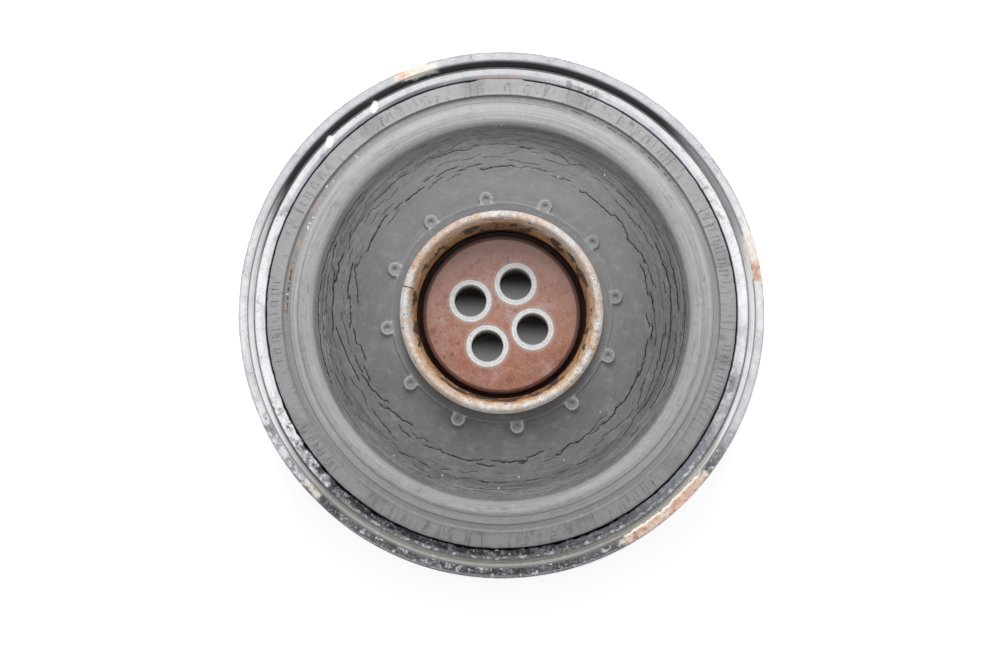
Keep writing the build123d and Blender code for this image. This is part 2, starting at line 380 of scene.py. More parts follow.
# %% Lattice noise
def rough(points, size, seed):
    """Smooth noise from 0 to 1 at points, with lumps about size apart."""
    lattice = np.random.default_rng(seed).random((32, 32, 32))
    spot = points / size
    low = np.floor(spot).astype(int)
    part = spot - low
    part = part * part * (3 - 2 * part)
    total = np.zeros(len(points))
    for corner in itertools.product((0, 1), repeat=3):
        weight = np.prod(np.where(corner, part, 1 - part), axis=1)
        total += weight * lattice[tuple((low + corner).T % 32)]
    return total


def ease(value, low, high):
    """Goes smoothly from 0 to 1 while value goes from low to high."""
    part = np.clip((value - low) / (high - low), 0, 1)
    return part * part * (3 - 2 * part)


def clock(points):
    """Radius, and degrees clockwise from +X as seen from the front."""
    radius = np.hypot(points[:, 0], points[:, 1])
    return radius, np.degrees(np.arctan2(-points[:, 1], points[:, 0])) % 360


def about(bearing, middle, half, soft):
    """One within half of the middle bearing and nought beyond, with a soft edge."""
    off = np.abs((bearing - middle + 180) % 360 - 180)
    return 1 - ease(off, half - soft, half + soft)


print("noise at the origin:", round(float(rough(np.zeros((1, 3)), 1.0, 1)[0]), 3))

# %% [markdown]
# ## Belt rim
# The rim carries the belt in six V grooves. Its front shows a bare land beside the rubber, a
# sharp trough, and a raised flange that keeps the belt on. The corners repeat the model's own
# sizes. Stones and water have pitted the face and chipped the corner, so points are pushed in.

# %% Belt rim: form
rim_radius, rim_bore = 86.9, 77.9
rib_tip, groove_floor, groove_count = 85.4, 82.5, 6
groove_pitch, first_groove = 3.56, 46.4
half_floor = 0.25
half_mouth = half_floor + (rib_tip - groove_floor) * math.tan(math.radians(20))
flank = [(rib_tip, half_mouth), (groove_floor, half_floor)]
groove = [*flank, *[(radius, -height) for radius, height in reversed(flank)]]
rim_section = section(
    (rim_bore, 52.7, 0, 0.2), (rim_bore + 0.3, 53, 0, 0.32), (81.3, 52.1, 0.3, 0.32),
    (81.7, 50.2, 0, 0.32), (84.1, 52.6, 0.3, 0.3), (rim_radius, 52, 0.35, 0.6),
    (rim_radius, 49.5, 0.2), (rib_tip, 49),
    *[(r, first_groove - k * groove_pitch + z) for k in range(groove_count) for r, z in groove],
    (rib_tip, 26), (rim_radius, 25.5, 0.2), (rim_radius, 23.5, 0.3), (79.5, 23.5, 0.3), (79.5, 27),
    (65.7, 27), (65.7, 40.5), (69, 40.5), (69, 32, 2), (75.4, 32, 2), (75.4, 37),
    (rim_bore, 37, 0, 3),
)

# %% [markdown]
# Wear has places. The land is ragged beside the rubber on the near side, the corner is
# chipped all round, and scabs of rust stand on the flange. The same list of scabs drives
# the lumps here and the orange in the finish below.

# %% Belt rim: wear in the metal
rust_scabs = [(50.2, 12.2), (250.6, 4.8), (347.5, 6.5), (138.6, 1.2), (135.8, 0.9)]
ragged_middle, ragged_half = 100, 55


def wear_rim(points):
    """Pushes pits, chips and scabs into the rim's front."""
    radius, bearing = clock(points)
    front = ease(points[:, 2], 49.6, 50)
    near = about(bearing, ragged_middle, ragged_half, 12)
    fine = rough(points, 0.9, 11)
    broad = rough(points, 3.1, 12)
    chips = ease(broad * 0.65 + fine * 0.35, 0.52, 0.66) * ease(radius, 85.9, 86.7) * (0.35 + 0.65 * near)
    pits = ease(fine, 0.62, 0.78) * ease(radius, 77.9, 78.3)
    land = 1 - ease(radius, 79, 81.4)
    torn = ease(rough(points, 1.7, 13) * 0.6 + fine * 0.4, 0.4, 0.62) * near * land
    scab = np.max([about(bearing, middle, half, 1) for middle, half in rust_scabs], axis=0)
    scab *= ease(radius, 83.6, 84.3) * rough(points, 1.2, 14)
    drop = front * (0.3 * chips + 0.1 * pits + 0.45 * torn - 0.3 * scab)
    inner = front * near * (1 - ease(radius, 77.9, 78.6))
    push = inner * ease(rough(points, 1.4, 15), 0.45, 0.7) * 0.5 - front * 0.35 * chips
    scale = 1 + push / radius
    return np.column_stack([points[:, 0] * scale, points[:, 1] * scale, points[:, 2] - drop])


print("the rim has", len(rust_scabs), "scabs of rust")

# %% [markdown]
# ### Finish of the rim
# The bare metal is grey where it is pitted and brighter where it is worn. Every stain is a
# mask, one inside the stain and nought outside, made from the radius, the bearing and noise.
# A finish is a list of layers: a mask, and the colour that it lays over what is there.

# %% Polar coordinates for finishes
class Coat(Finish):
    """A finish that knows its place round the axis: mm, and degrees clockwise from +X."""

    def __init__(self, name):
        super().__init__(name)
        self.place = self.node("TexCoord", out="Object")
        self.x = self.node("SeparateXYZ", {0: self.place})
        self.y = self.x.other("Y")
        self.radius = (self.x * self.x + self.y * self.y) ** 0.5 * 1000
        self.bearing = ((self.y * -1).maths("ARCTAN2", self.x) * math.degrees(1)).wrap(360)
        self.height = self.x.other("Z") * 1000
        self.at, self.ring, self.past = self.bearing.facing, self.radius.band, self.radius.ramp

    def noise(self, scale, detail=3.0, roughness=0.6, vector=None):
        sockets = {"Vector": vector or self.place, "Scale": scale, "Detail": detail}
        return self.node("TexNoise", {**sockets, "Roughness": roughness})

    def noises(self, *settings):
        return [self.noise(*setting) for setting in settings]

    def swept(self, around, across, detail=3.0, roughness=0.6, along=None):
        """Noise that is drawn out round the axis: lumps per turn, and lumps per mm of radius."""
        east, north = [side / self.radius * 1000 * around for side in (self.x, self.y)]
        spot = self.node("CombineXYZ", {0: east, 1: north, 2: (along or self.radius) * across})
        return self.noise(1, detail, roughness, spot)

    def surface(self, tone, gloss, relief, depth, strength=0.5, metallic=0.0):
        """Ends the tree in the standard shader, with a relief that is depth metres deep."""
        bump = self.node("Bump", {"Strength": strength, "Distance": depth, "Height": relief})
        sockets = {"Base Color": tone, "Roughness": gloss, "Metallic": metallic, "Normal": bump}
        self.node("OutputMaterial", {"Surface": self.node("BsdfPrincipled", sockets)})
        return self.owner


print("polar helpers ready")

# %% Rim finish
paint_marks = [(-42.1, 68.6, 0.15), (-56.9, 57, 0.1)]
ragged_spots = [(17, 2), (332, 5), (203, 4), (289, 5)]


def rim_finish():
    steel = Coat("worn_rim_steel")
    radius, bearing, at, ring, past = steel.radius, steel.bearing, steel.at, steel.ring, steel.past
    fine, middling, coarse, broad = steel.noises((1500, 3, 0.7), (520, 3, 0.65), (260, 4, 0.7), (110,))
    rings = steel.swept(3, 3.2, 2)
    front = steel.height.ramp(49.4, 49.8)
    near = (bearing + (broad - 0.5) * 14).facing(84, 53, 10)
    far = 1 - near
    flange, land, corner = past(83.9, 84.3), past(81.6, 81.3), past(80.8, 79.8)
    trough, floor = ring(81.65, 84, 0.12), ring(81.9, 83.7, 0.12)
    flat = 1 - trough
    uneven = radius + (coarse - 0.5) * 3

    bare = at(43, 13, 6) * land
    crust = near * (land * (0.15 + corner * 0.85)).most(flange * 0.92)
    crust = crust * (coarse * 0.5 + middling * 0.5).ramp(0.36, 0.53) * (1 - bare * 0.9)
    lump = near * ring(80.2, 81.3, 0.3).most(flange * 0.5) * middling.ramp(0.46, 0.6)
    speck = middling.ramp(0.6, 0.66) * fine.ramp(0.4, 0.55)
    glint = near * flange * middling.ramp(0.57, 0.61) * fine.ramp(0.46, 0.54)
    dulled = any_of([at(24, 12, 6), at(5, 3, 2) * 0.5, at(141, 4, 2) * 1.3])
    torn = any_of([at(143, 15, 5), *[at(*spot, 3) * corner * 0.6 for spot in ragged_spots]])
    torn = torn * land.most(flange * 0.7) * 0.85
    # scores on the land and in the trough
    dark_marks = any_of([
        at(204, 9, 5) * ring(81.2, 82.2, 0.2),
        at(248, 6, 3) * past(79.4, 78.8),
        at(52, 4, 3) * ring(79.6, 81.2, 0.3) * 0.8,
    ])
    outline = past(86.1, 86.5).most(ring(84.35, 84.55, 0.12) * 0.8) * flange

    twisted = bearing + (broad - 0.5) * 6 + (middling - 0.5) * 1.6
    blunt = uneven.band(84.3, 86.2, 0.5)
    rust = any_of([
        twisted.facing(turn, half, 0.7) * twisted.facing(turn, half - 1.5, 0.6).most(blunt)
        for turn, half in rust_scabs
    ])
    rust = rust * uneven.ramp(83.2, 83.6) * front
    inside = any_of([twisted.facing(turn, half - 1, 0.8) for turn, half in rust_scabs])
    orange = steel.layered(
        steel.mix(coarse.ramp(0.38, 0.6), (246, 226, 210), (230, 186, 162)),
        (middling.ramp(0.52, 0.62) * 0.7, 186, 154, 148),
        (at(344.4, 4, 1.4) * 0.8, 250, 247, 240),
        (at(252.5, 4, 1.5) * 0.8, 248, 242, 232),
    )
    orange = steel.mix(inside * uneven.ramp(83.9, 84.5), (253, 247, 230), orange)

    def paint_spot(left, ahead, lean):
        """An oval spot of white paint, in millimetres."""
        east, north = steel.x * 1000 - left, steel.y * 1000 - ahead
        short, long = (east - north * lean) / 1.25, (north + east * lean) / 2.25
        return (short * short + long * long + (middling - 0.5) * 0.5).ramp(1.1, 0.85)

    paint = any_of([paint_spot(*mark) for mark in paint_marks]) * front
    coat = (1 - front) * past(85.38, 85.2)
    tone = steel.layered(
        steel.mix(broad.ramp(0.35, 0.65), (230, 230, 234), (251, 251, 253)),
        (at(262, 62, 20) * flat * 0.55, 206, 207, 211),  # painted shade on the far side
        # darker on the near side: partly dark paint, partly painted shade
        (near * flat, 136, 137, 140),
        # painted reflection: the trough white
        (trough, 255, 255, 255),
        (at(92, 56, 16) * trough, 168, 167, 162),  # painted shade: the trough greyer on the near side
        # painted light in the bottom of the trough on the near side
        (near * ring(81.4, 82.2, 0.2), 226, 224, 216),
        (fine.ramp(0.58, 0.7) * (0.18 + near * 0.22), 120, 121, 124),
        (rings.ramp(0.5, 0.62) * trough * (0.25 + near * 0.25), 128, 128, 126),
        (bare * near * 0.5, 152, 157, 165),
        (crust * 0.95, 34, 34, 37),
        (ring(79.4, 81.1, 0.4) * far * 0.7, 255, 255, 255),  # painted highlight on the land, away from the near side
        (at(245, 32, 16) * past(79.5, 78.6) * 0.65, 120, 120, 124),  # darker at the inner edge towards the top left
        (dulled * land * coarse.ramp(0.36, 0.56, 0.3, 0.7), 112, 114, 120),
        (far * flat * coarse.ramp(0.6, 0.68) * 0.42, 110, 110, 114),  # stray pits
        ((speck * 0.55).most(lump * 0.75), 232, 232, 236),
        (glint * 0.85, 250, 250, 252),
        (near * past(86.15, 86.45) * 0.35, 206, 206, 208),
        (torn * coarse.ramp(0.47, 0.56), 54, 56, 62),
        (torn * coarse.ramp(0.42, 0.35), 252, 252, 254),
        (at(152.2, 3.4, 1.2) * land * coarse.ramp(0.66, 0.56) * 0.95, 252, 252, 254),
        (dark_marks * 0.5, 96, 98, 104),
        (at(67, 8, 4) * ring(78.4, 79.8, 0.3) * 0.32, 176, 178, 182),  # rubbed
        (coarse.ramp(0.46, 0.54) * fine.ramp(0.44, 0.56) * far * flat * 0.2, 150, 151, 156),  # scuffs
        (outline * far * 0.4, 132, 133, 138),
        (at(330, 14, 9) * floor * 0.6, 118, 118, 121),
        # painted dark reflection in the trough on the far side
        ((bearing + (rings - 0.5) * 20).facing(262, 56, 8) * floor * 0.97, 14, 14, 16),
        # painted shade at the bottom of the trough, away from the near side
        (ring(81.5, 81.95, 0.12) * far * 0.5, 80, 80, 84),
        # painted shade in the corner at the flange's inner edge
        (ring(83.55, 84.05, 0.12) * 0.75, 104, 104, 108),
        (rust, orange),
        (at(269.5, 5.5, 1) * past(78.7, 78.3) * front * 0.8, 214, 184, 170),  # pink
        (at(252.5, 2.6, 1) * uneven.band(82.8, 84.8, 0.3) * 0.8, 242, 240, 234),
        (paint, 253, 253, 253),
        (coat * 0.85, 44, 45, 47),
    )
    dull = rust.most(paint)
    metal = (1 - dull) * (1 - crust * 0.6) * (1 - coat * 0.8) * (0.92 - trough * 0.82 - flange * far * 0.4)
    gloss = 0.26 + 0.14 * fine + 0.16 * flange + 0.3 * dull + 0.25 * crust
    relief = fine * 0.4 + middling * 0.8 + coarse * flange * 1.2
    return steel.surface(tone, gloss, relief, 0.00025, 0.6, metal)


pulley_rim = turned("pulley_rim_worn", rim_section, 740, rim_finish())
write_points(pulley_rim, wear_rim(read_points(pulley_rim)))
settle(pulley_rim, 40, "pulley_rim")

# %% [markdown]
# ## Decoupler rubber
# The rubber is one moulding from the collar to the rim. It dips into a dish, rises into a
# rolled bead and ends in a flat band. Twelve lugs stand round the collar, where pins held it
# in the mould. The section is turned first. Lugs and cracks follow no turning, so they are
# then pressed into the fine columns of points.

# %% Rubber: section
def passage(start, end, start_slope, end_slope, spacing):
    """Points of a smooth cubic between two (radius, height) points, without its end."""
    (r0, z0), (r1, z1) = start, end
    span = r1 - r0
    t = np.linspace(0, 1, math.ceil(span / spacing) + 1)[:-1]
    height = (
        (2 * t**3 - 3 * t**2 + 1) * z0 + (t**3 - 2 * t**2 + t) * span * start_slope
        + (3 * t**2 - 2 * t**3) * z1 + (t**3 - t**2) * span * end_slope
    )
    return np.column_stack([r0 + t * span, height])


collar_radius = 33.5
plateau_radius, plateau_height, plateau_rise = 36.6, 55.6, 0.7
valley = (57.3, 53.1)
bead_crest = (64.2, 56.8)
band_inner, band_outer = 72.2, 77.45
band_foot, band_top, band_edge = 54.3, 55.3, 53
band_fall = (band_top - band_edge) / (band_outer - band_inner)
dish_slope = -math.tan(math.radians(12))
bead_edge, bead_slope = (62.3, 55.9), math.tan(math.radians(38))


def rubber_section():
    near_collar = [(r, plateau_height) for r in np.arange(collar_radius, plateau_radius - 0.1, 0.31)]
    dish = passage((plateau_radius, plateau_height), valley, dish_slope, 0, 0.27)
    dish = np.vstack([dish[:16], dish[16:37:3], dish[37:]])
    inner_bead = passage(valley, bead_edge, 0, bead_slope, 0.26)
    top_bead = passage(bead_edge, bead_crest, bead_slope, 0, 0.48)
    outer_bead = passage(bead_crest, (band_inner, band_foot), 0, 0, 0.62)
    band = [(band_inner + 0.05, band_top - 0.1), (band_inner + 0.25, band_top)]
    flat = np.linspace(band_inner + 0.8, band_outer - 0.15, 6)
    band += [(r, band_top - band_fall * (r - band_inner)) for r in flat]
    edge = [(band_outer, band_edge - 0.15), (band_outer, 51.8)]
    over_ring = [(65.4, 53.8), (65.4, 51.8), (75.9, 49.8), (75.9, 38.2), (74.7, 38.2), (74.7, 48.6)]
    rear = [(64.2, 50.6), (61, 48.6), (57.3, 45.1), (50, 44), (44.5, 43.9), (39.6, 41)]
    foot = [(37.2, 37.2), (36.5, 35.1), (35.3, 35.1), (35.3, 52.3), (37.3, 52.3), (37.3, 54.1)]
    front = [near_collar, dish, inner_bead, top_bead, outer_bead, band, edge]
    return np.vstack([*front, over_ring, rear, foot, [(33.5, 54.1)]])


rubber_points = rubber_section()
front_rows = int(np.argmax(rubber_points[:, 0] >= band_outer)) + 2
print("rubber section has", len(rubber_points), "points,", front_rows, "of them in front")

# %% [markdown]
# The cracks run round the dish in families, where the rubber flexes most. Each is typed as
# its strength and then bearing and radius from point to point. Bearings are in degrees. The
# radii of the dish's cracks count steps of 0.3305 mm, and those on the bead are in mm. A
# crack is a narrow groove that gets shallower away from its line. Each point also keeps its
# distance from the nearest crack, and the finish draws a line where that is nought, which
# stays thin and unbroken between coarse points.

# %% Rubber: cracks
crack_step = 0.3305
dish_cracks = [
    (0.6, 0, 153.4, 2, 152.6, 5, 154.2, 8, 155.6, 10.5, 156.7, 12, 156.5),
    (0.3, 0, 157.9, 4, 157.8),
    (0.9, 0, 169.3, 7.5, 169.3, 15, 169.5, 18, 169.2, 21, 169.5),
    (0.4, 0, 177.1, 4, 176.2),
    (0.45, 0, 180.7, 15, 180.7),
    (0.6, 0, 183.1, 12, 183, 24, 183),
    (0.8, 0.5, 144, 2.5, 146.1, 4.5, 147.3, 5, 148.2),
    (0.8, 4, 164.7, 6, 165.2, 7.5, 165.3),
    (1, 4.5, 150.8, 6, 151.3, 10, 151.5),
    (0.7, 7, 175.2, 8.5, 176.1, 12, 176.2, 15, 177.6, 17, 177, 18, 176.1, 20.5, 176, 21.3, 177.7, 23, 177.3,
        26, 176.3, 28, 176.2, 30, 176.9),
    (0.7, 8, 163.2, 11, 162.7, 14, 163.2, 16, 164.4, 18, 163.1, 19.5, 164.2, 21, 163.3, 23, 165.4, 28,
        165.7, 29, 166.8, 31, 166.9),
    (0.9, 10, 148.6, 11, 148, 15, 148.2, 16, 149.4, 18, 149.8, 22, 150.5, 24, 150.8),
    (0.4, 10, 154.2, 14, 153.8),
    (0.5, 14, 156.8, 18, 157.5, 23, 157.3),
    (0.4, 18.5, 143.8, 20, 145, 22, 145.9),
    (0.6, 21, 169.5, 24, 169.7, 27, 170.4, 31, 170.3, 34, 169.3, 36, 169.1),
    (1, 24, 148.3, 26, 149.3, 28, 150.1, 31, 149.9, 33, 150.8, 36, 150.7, 37, 149.7, 39, 148.6, 40.5, 149,
        41.5, 151.1, 45.5, 150.6, 47, 150.1),
    (0.7, 24.5, 157.9, 28.5, 158.2),
    (0.6, 29, 159.8, 31, 161.5, 32, 162.5, 33.5, 163.2, 34.5, 166.1, 36, 165.8, 36.5, 163),
    (0.55, 31, 175.9, 33, 176.5),
    (0.4, 33, 183.2, 44, 183),
    (0.5, 34.5, 138.3, 36, 139.4, 37, 140.4),
    (0.6, 37.5, 163, 38.5, 163.8, 40, 163.3, 41.5, 162.5, 45, 161.5, 48, 160.1, 50.5, 159.3),
    (0.55, 38, 176.1, 39, 177.3, 43, 177.9),
    (0.6, 38.5, 168.8, 40, 169.9, 43, 171.3, 44.5, 172.5),
    (0.35, 45, 169.4, 49, 169.9, 52, 170.3, 53.5, 171.9, 55, 172.5),
    (0.5, 45.5, 144.8, 47, 144.4, 49, 144.7, 50, 146.3),
    (0.6, 48, 148.3, 49.5, 149.2, 51, 150.9, 53, 150.5),
    (0.5, 51, 161.9, 54.5, 162.5, 55, 164.8, 56.5, 165.7, 58, 165.3),
    (0.7, 51.5, 147.3, 55, 147.9, 57, 148.8, 60, 149.7),
    (1, 60, 148.6, 61.5, 148.2, 62.5, 147.2, 64.5, 148.6, 66.5, 150.5, 67.3, 152.8, 68.5, 151.9),
    (0.6, 60, 170, 63, 169.3),
    (0.3, 60, 183.2, 64, 183, 72, 183),
    (0.35, 63, 176.5, 67, 176.1, 70, 176.7),
    (0.5, 66.5, 169.7, 70, 169.3, 72, 168.6),
    (0.25, 69, 144.8, 73, 144.6),
    (0.5, 70, 153.4, 74, 154.2),
    (1, 74, 143.8, 75.5, 145.3, 77, 146.1, 78.5, 145.4, 79.8, 147.2, 80.3, 149.8, 81.5, 150.5, 82.5, 151.3),
    (0.5, 75.5, 169.2, 81, 169.3, 82, 169.8),
    (0.3, 76, 159.8, 78, 161, 78.5, 162.5),
    (0.3, 76, 176, 80, 175.8),
    (1, 82, 148.2, 83.5, 149, 84.5, 147.9, 86, 149, 89, 149.2, 91, 147.8, 93, 148),
    (0.35, 84, 169.6, 88, 169.3),
    (0.3, 88.5, 160.8, 92, 160.4),
    (0.6, 89, 169, 92, 169.2),
    (0.9, 93, 152.9, 95, 153.4, 97, 152.9, 98.5, 152.8),
    (0.4, 94, 176.9, 97, 176.5, 99, 176.8, 101, 176.7),
    (0.8, 95, 169.3, 97.5, 169.1),
    (0.95, 98, 147.9, 99, 149, 101, 150.1, 103, 151.3, 105, 150.9, 107, 151.1, 108.5, 149.8),
    (0.4, 98.5, 169.3, 99.5, 171.9),
    (0.5, 99, 160.1, 100.5, 161.1, 102, 162.7, 104, 163.2),
    (0.5, 101, 168.6, 104, 169.6, 105.5, 171.9, 106, 173),
    (0.4, 107, 172.8, 109.5, 172.1),
    (0.5, 108.5, 164.8, 110, 166.1, 111, 167),
    (0.75, 110, 151.1, 113, 151.1, 114, 149.3, 115.5, 150.7, 117, 151.3, 120, 152.5),
    (0.6, 111, 176.5, 112, 177.3, 114, 178.3),
    (0.6, 115, 169.3, 120, 169),
    (0.4, 115, 180.7, 118, 181.5),
    (0.45, 116, 175, 120, 175),
    (0.7, 120, 146.9, 122, 147.1, 123, 149.4, 124, 150.3, 125, 148.8, 126, 149),
    (0.7, 121.5, 168.2, 122.5, 170, 124, 171.1, 126, 171.5),
    (0.95, 127, 153.8, 128, 153.2, 131, 152.8, 132, 151.5),
    (0.5, 127.5, 169.4, 130, 168.8),
    (0.9, 129, 142.8, 130.5, 144, 133, 145.4, 137, 146.1, 138.5, 147.1, 140, 147.9, 141, 149.8, 142.3,
        151.5, 143, 150.7),
    (0.45, 130, 164.8, 133, 163.8),
    (0.45, 132.5, 169.3, 136, 169.3, 139, 171.5, 141, 173.2, 142, 175.5, 145, 176.5),
    (0.7, 133.5, 162.1, 138.5, 161.9, 140, 160.9, 143, 160.8),
    (0.45, 139, 182.9, 143, 182.9, 149, 183.3),
    (1, 142, 143.6, 143.5, 146.1, 146, 147.8, 148, 148.4, 149, 150.1, 151.5, 150.5, 152.5, 149.6, 154,
        150.7, 155.5, 151.9),
    (0.3, 142, 163.4, 144.5, 163.7),
    (0.45, 142, 168.8, 146, 169.3, 150, 169),
    (0.65, 146, 162.8, 148, 160.8, 151, 159.8, 152.5, 161.9, 154.5, 163.4, 156.5, 163.6),
    (0.4, 147, 178.4, 151, 178.8),
    (0.55, 148.5, 175.3, 153, 175.1),
    (0.4, 153, 182.9, 158, 182.6),
    (0.9, 153.5, 146.9, 155, 147.3, 157, 146.8, 158.5, 147.3),
    (0.35, 154, 178.6, 160, 179, 167, 179),
    (0.9, 155, 157.3, 157.5, 157.3, 160, 158.2, 163, 159.4, 166, 160.3, 168, 161.1, 169.5, 162.5, 172,
        163.8, 174.5, 165.3),
    (0.5, 155, 175.5, 157, 176.5, 160, 176.3),
    (0.6, 156.5, 169.8, 157.5, 169, 159.5, 170.3),
    (0.8, 157.5, 151.1, 160, 151.8, 161.5, 152.5, 163.5, 152.2),
    (0.8, 158, 182.9, 165, 183, 173, 182.6, 180, 182.8),
    (0.5, 161, 173.2, 163, 174.4, 166.5, 176.5),
    (0.85, 161.5, 143.2, 164, 143.8, 167, 144.4, 168, 147.5, 170.5, 148, 173.5, 148.4),
    (0.4, 162, 167.5, 164, 168.6, 166, 169.8),
    (0.35, 164.5, 154, 168, 153.8),
    (0.45, 167.5, 174.4, 169, 175.4, 172, 176.3),
    (0.5, 168, 178.6, 172, 179, 176, 178.8, 180, 178.8),
    (0.6, 169, 155.4, 173, 155.4, 175, 157.1, 177, 158.3, 178, 159.4, 180, 159.6),
    (0.45, 169, 168.8, 171, 169.8, 173, 170.7),
    (0.35, 173, 174.8, 176, 174.6),
    (0.9, 174.5, 168.8, 177, 168.2, 180, 168.8),
    (0.9, 175, 152.6, 176.5, 150.8, 178, 150.1, 180, 151.1),
    (0.8, 180, 151.1, 183, 151.3, 186, 151.5),
    (0.45, 180, 157.1, 183, 157.3, 185, 158.3, 187, 159.4, 188.5, 161.1, 191, 162.1),
    (0.9, 180, 169, 183, 169, 184, 168.3, 187, 168.6, 188, 170, 191, 170.8, 194, 172.1),
    (0.6, 180, 175.3, 184, 175.7, 188, 175.5, 191, 176.3, 193.5, 176.5),
    (0.5, 180, 178.8, 184, 179),
    (0.7, 180, 182.9, 185, 183, 190, 182.5, 193, 183, 200, 182.6, 206, 182.1, 209, 182.8, 221, 182.8),
    (0.85, 184, 143.6, 186, 144.6, 189, 145.5, 191, 147.3, 193, 148.6, 193.8, 150.1, 195.5, 151.1, 196.5,
        153.2, 198, 153.2),
    (1, 186, 153.8, 188, 154.8, 191, 155.3, 194.5, 155.1, 196, 156.5, 198, 156.8),
    (0.35, 188, 178.8, 194, 179),
    (0.9, 191.5, 168.6, 195.5, 168.8, 197, 170.3, 199, 168.8, 200.5, 168.3),
    (0.7, 195, 175.3, 196, 176.5, 197, 177.1, 199, 177.6, 200.5, 178.8, 202.5, 179),
    (0.6, 198, 150.9, 200, 150.8, 202, 151.3),
    (0.35, 198.5, 154.8, 201.5, 155),
    (0.5, 198.5, 160.7, 200.5, 161.7, 203, 162.5),
    (0.4, 199.5, 174.8, 202, 176.1, 204, 176.2),
    (0.4, 202, 153.3, 205.5, 153),
    (0.4, 202.5, 148.6, 204, 149.4, 205, 149.6),
    (0.65, 203, 165.7, 204, 165.5, 205, 167.8, 206.5, 169, 207, 170, 208.5, 171.5),
    (0.35, 204.5, 159.2, 208, 159),
    (0.4, 204.5, 175, 206, 175.8),
    (0.5, 204.5, 177.3, 206, 178.8, 214, 178.8, 220, 178.4),
    (1, 205.5, 147.8, 208, 148.6, 210.5, 148.8, 213, 149, 216, 150.1, 217.5, 151.3, 219, 150.7, 220, 150.7),
    (0.35, 206.5, 156, 208, 154.8, 212, 155.7),
    (0.5, 209, 168.6, 212, 168.8, 213.5, 168.2, 215, 168.3),
    (0.35, 210, 174, 213, 174.2, 213.5, 175.7),
    (0.6, 214, 163.6, 215.5, 164.7, 217, 165.8, 219, 165.7, 220, 164.3, 221.5, 163.2, 224, 163.2),
    (0.5, 214.5, 157.5, 216.5, 158.2, 218, 159.2, 219.5, 158.2),
    (0.5, 218, 172.5, 219, 174.4),
    (0.65, 219, 144, 222, 144.7, 224, 145, 225, 146.7),
    (0.55, 219.5, 154.4, 223, 154.2, 225, 153.4),
    (0.4, 221, 174.8, 227, 174.7, 231, 175.5, 240, 175.3),
    (0.55, 222, 169.2, 224, 168.6, 228, 168.6, 231, 169.3, 233, 169.6, 236, 168.6),
    (0.7, 224.5, 149.4, 227.5, 148.8),
    (0.5, 224.5, 160.3, 226.5, 160.3, 228.5, 161.3, 230, 162.8),
    (0.85, 230, 147.3, 233, 147.8, 236, 148.3, 238, 148.4),
    (0.3, 231, 159.7, 234, 160.5),
    (0.6, 240, 144.4, 241.5, 144.8, 242, 146.5, 244.5, 147.9, 246, 148.3),
    (0.6, 240, 152.8, 242, 153.3, 244, 154.2),
    (0.4, 240, 169.3, 243, 169.4),
    (0.4, 243, 171.9, 246, 172.1),
    (0.75, 245, 151.1, 247, 152.1, 249, 153.2, 253, 153.2),
    (0.4, 245, 157.8, 246, 159.8, 248, 160.7, 252, 160.5, 253.5, 159.7),
    (0.5, 246, 169.3, 247, 169.3),
    (0.5, 248, 143.3, 250, 144.4, 253, 145.5),
    (0.6, 248.5, 168.6, 250, 168.8, 251, 168.2, 252.5, 169.2, 254.5, 169.2),
    (0.45, 253, 172.1, 254.5, 174, 256, 175.7, 259, 175.8),
    (0.7, 253.5, 148.6, 256, 149, 257, 150.1, 260, 150.5, 262, 150.9),
    (0.5, 255.5, 168.8, 257, 166.9, 259, 167.3, 260, 169.2, 262, 169.6),
    (0.5, 256, 157.9, 259, 157.8, 260.5, 159.2, 262, 160.7),
    (0.7, 262, 146.1, 263, 145, 265, 145.1),
    (0.45, 264, 156.9, 267, 157.3, 270.5, 156.5),
    (0.45, 265, 169, 267, 169.4, 268.5, 170.4, 270, 169.3, 273, 170, 274, 169.3),
    (0.9, 266, 146.7, 270, 146.8, 273, 147.6, 274.5, 148.2),
    (0.45, 271, 159.6, 273, 161.1, 274.5, 162.5, 276, 164.8),
    (0.55, 273, 154, 275, 153.6, 277, 153, 278, 152.2, 281, 153.2, 284, 153.3),
    (0.35, 276, 174, 277.5, 175.7, 281, 176.3),
    (0.55, 276.5, 146.9, 278, 147.3, 279, 148.6, 280, 149.4),
    (0.8, 277, 167.9, 279, 167.3),
    (0.5, 280, 168.2, 281, 168.6),
    (0.4, 281, 164, 283, 164.7, 284.5, 165.9),
    (0.6, 282, 148.8, 287, 149),
    (0.5, 285.5, 160.7, 288, 160.3, 290.5, 160.1, 293, 160.7, 294, 161.9),
    (0.4, 287.5, 149.8, 290.5, 150.3),
    (0.6, 287.5, 168.6, 290, 169, 291.5, 167.8, 293, 166.1, 294, 165.3, 295, 164.8, 296, 165.7, 297, 166.9,
        297.5, 168.6, 300, 168.8),
    (0.55, 290.5, 146.1, 292.5, 146.3, 294, 146.9),
    (0.3, 291, 153.6, 293, 154.4, 296, 155.3, 298, 155.8, 299.5, 157.8),
    (0.6, 294.5, 149, 297, 149.2),
    (0.35, 298.5, 146.3, 300, 146.5),
    (0.25, 302, 151.3, 305, 150.9),
    (0.85, 303, 144.8, 305, 146.3, 309, 146.5, 311, 146.1, 313, 146.5, 314, 146.1, 316.5, 146.3, 318, 147.3,
        319, 149.6, 321.5, 149.4, 323, 150.3, 325.5, 149.4, 326.5, 148.4, 328, 147.8),
    (0.45, 303.5, 164, 306, 165.3),
    (0.4, 307, 163.6, 311, 162.6),
    (0.4, 307.5, 168.8, 311, 169),
    (0.45, 313, 176.7, 317, 176.3, 326, 176.1, 328, 176.9, 331, 176.5, 334, 175.7),
    (0.6, 313.5, 168.6, 318, 169.2, 321, 169.4),
    (0.65, 315.5, 160.5, 317, 159.7, 319, 160.7, 320.5, 161.3, 323, 160.4, 326.5, 160.8, 327, 163.2, 332,
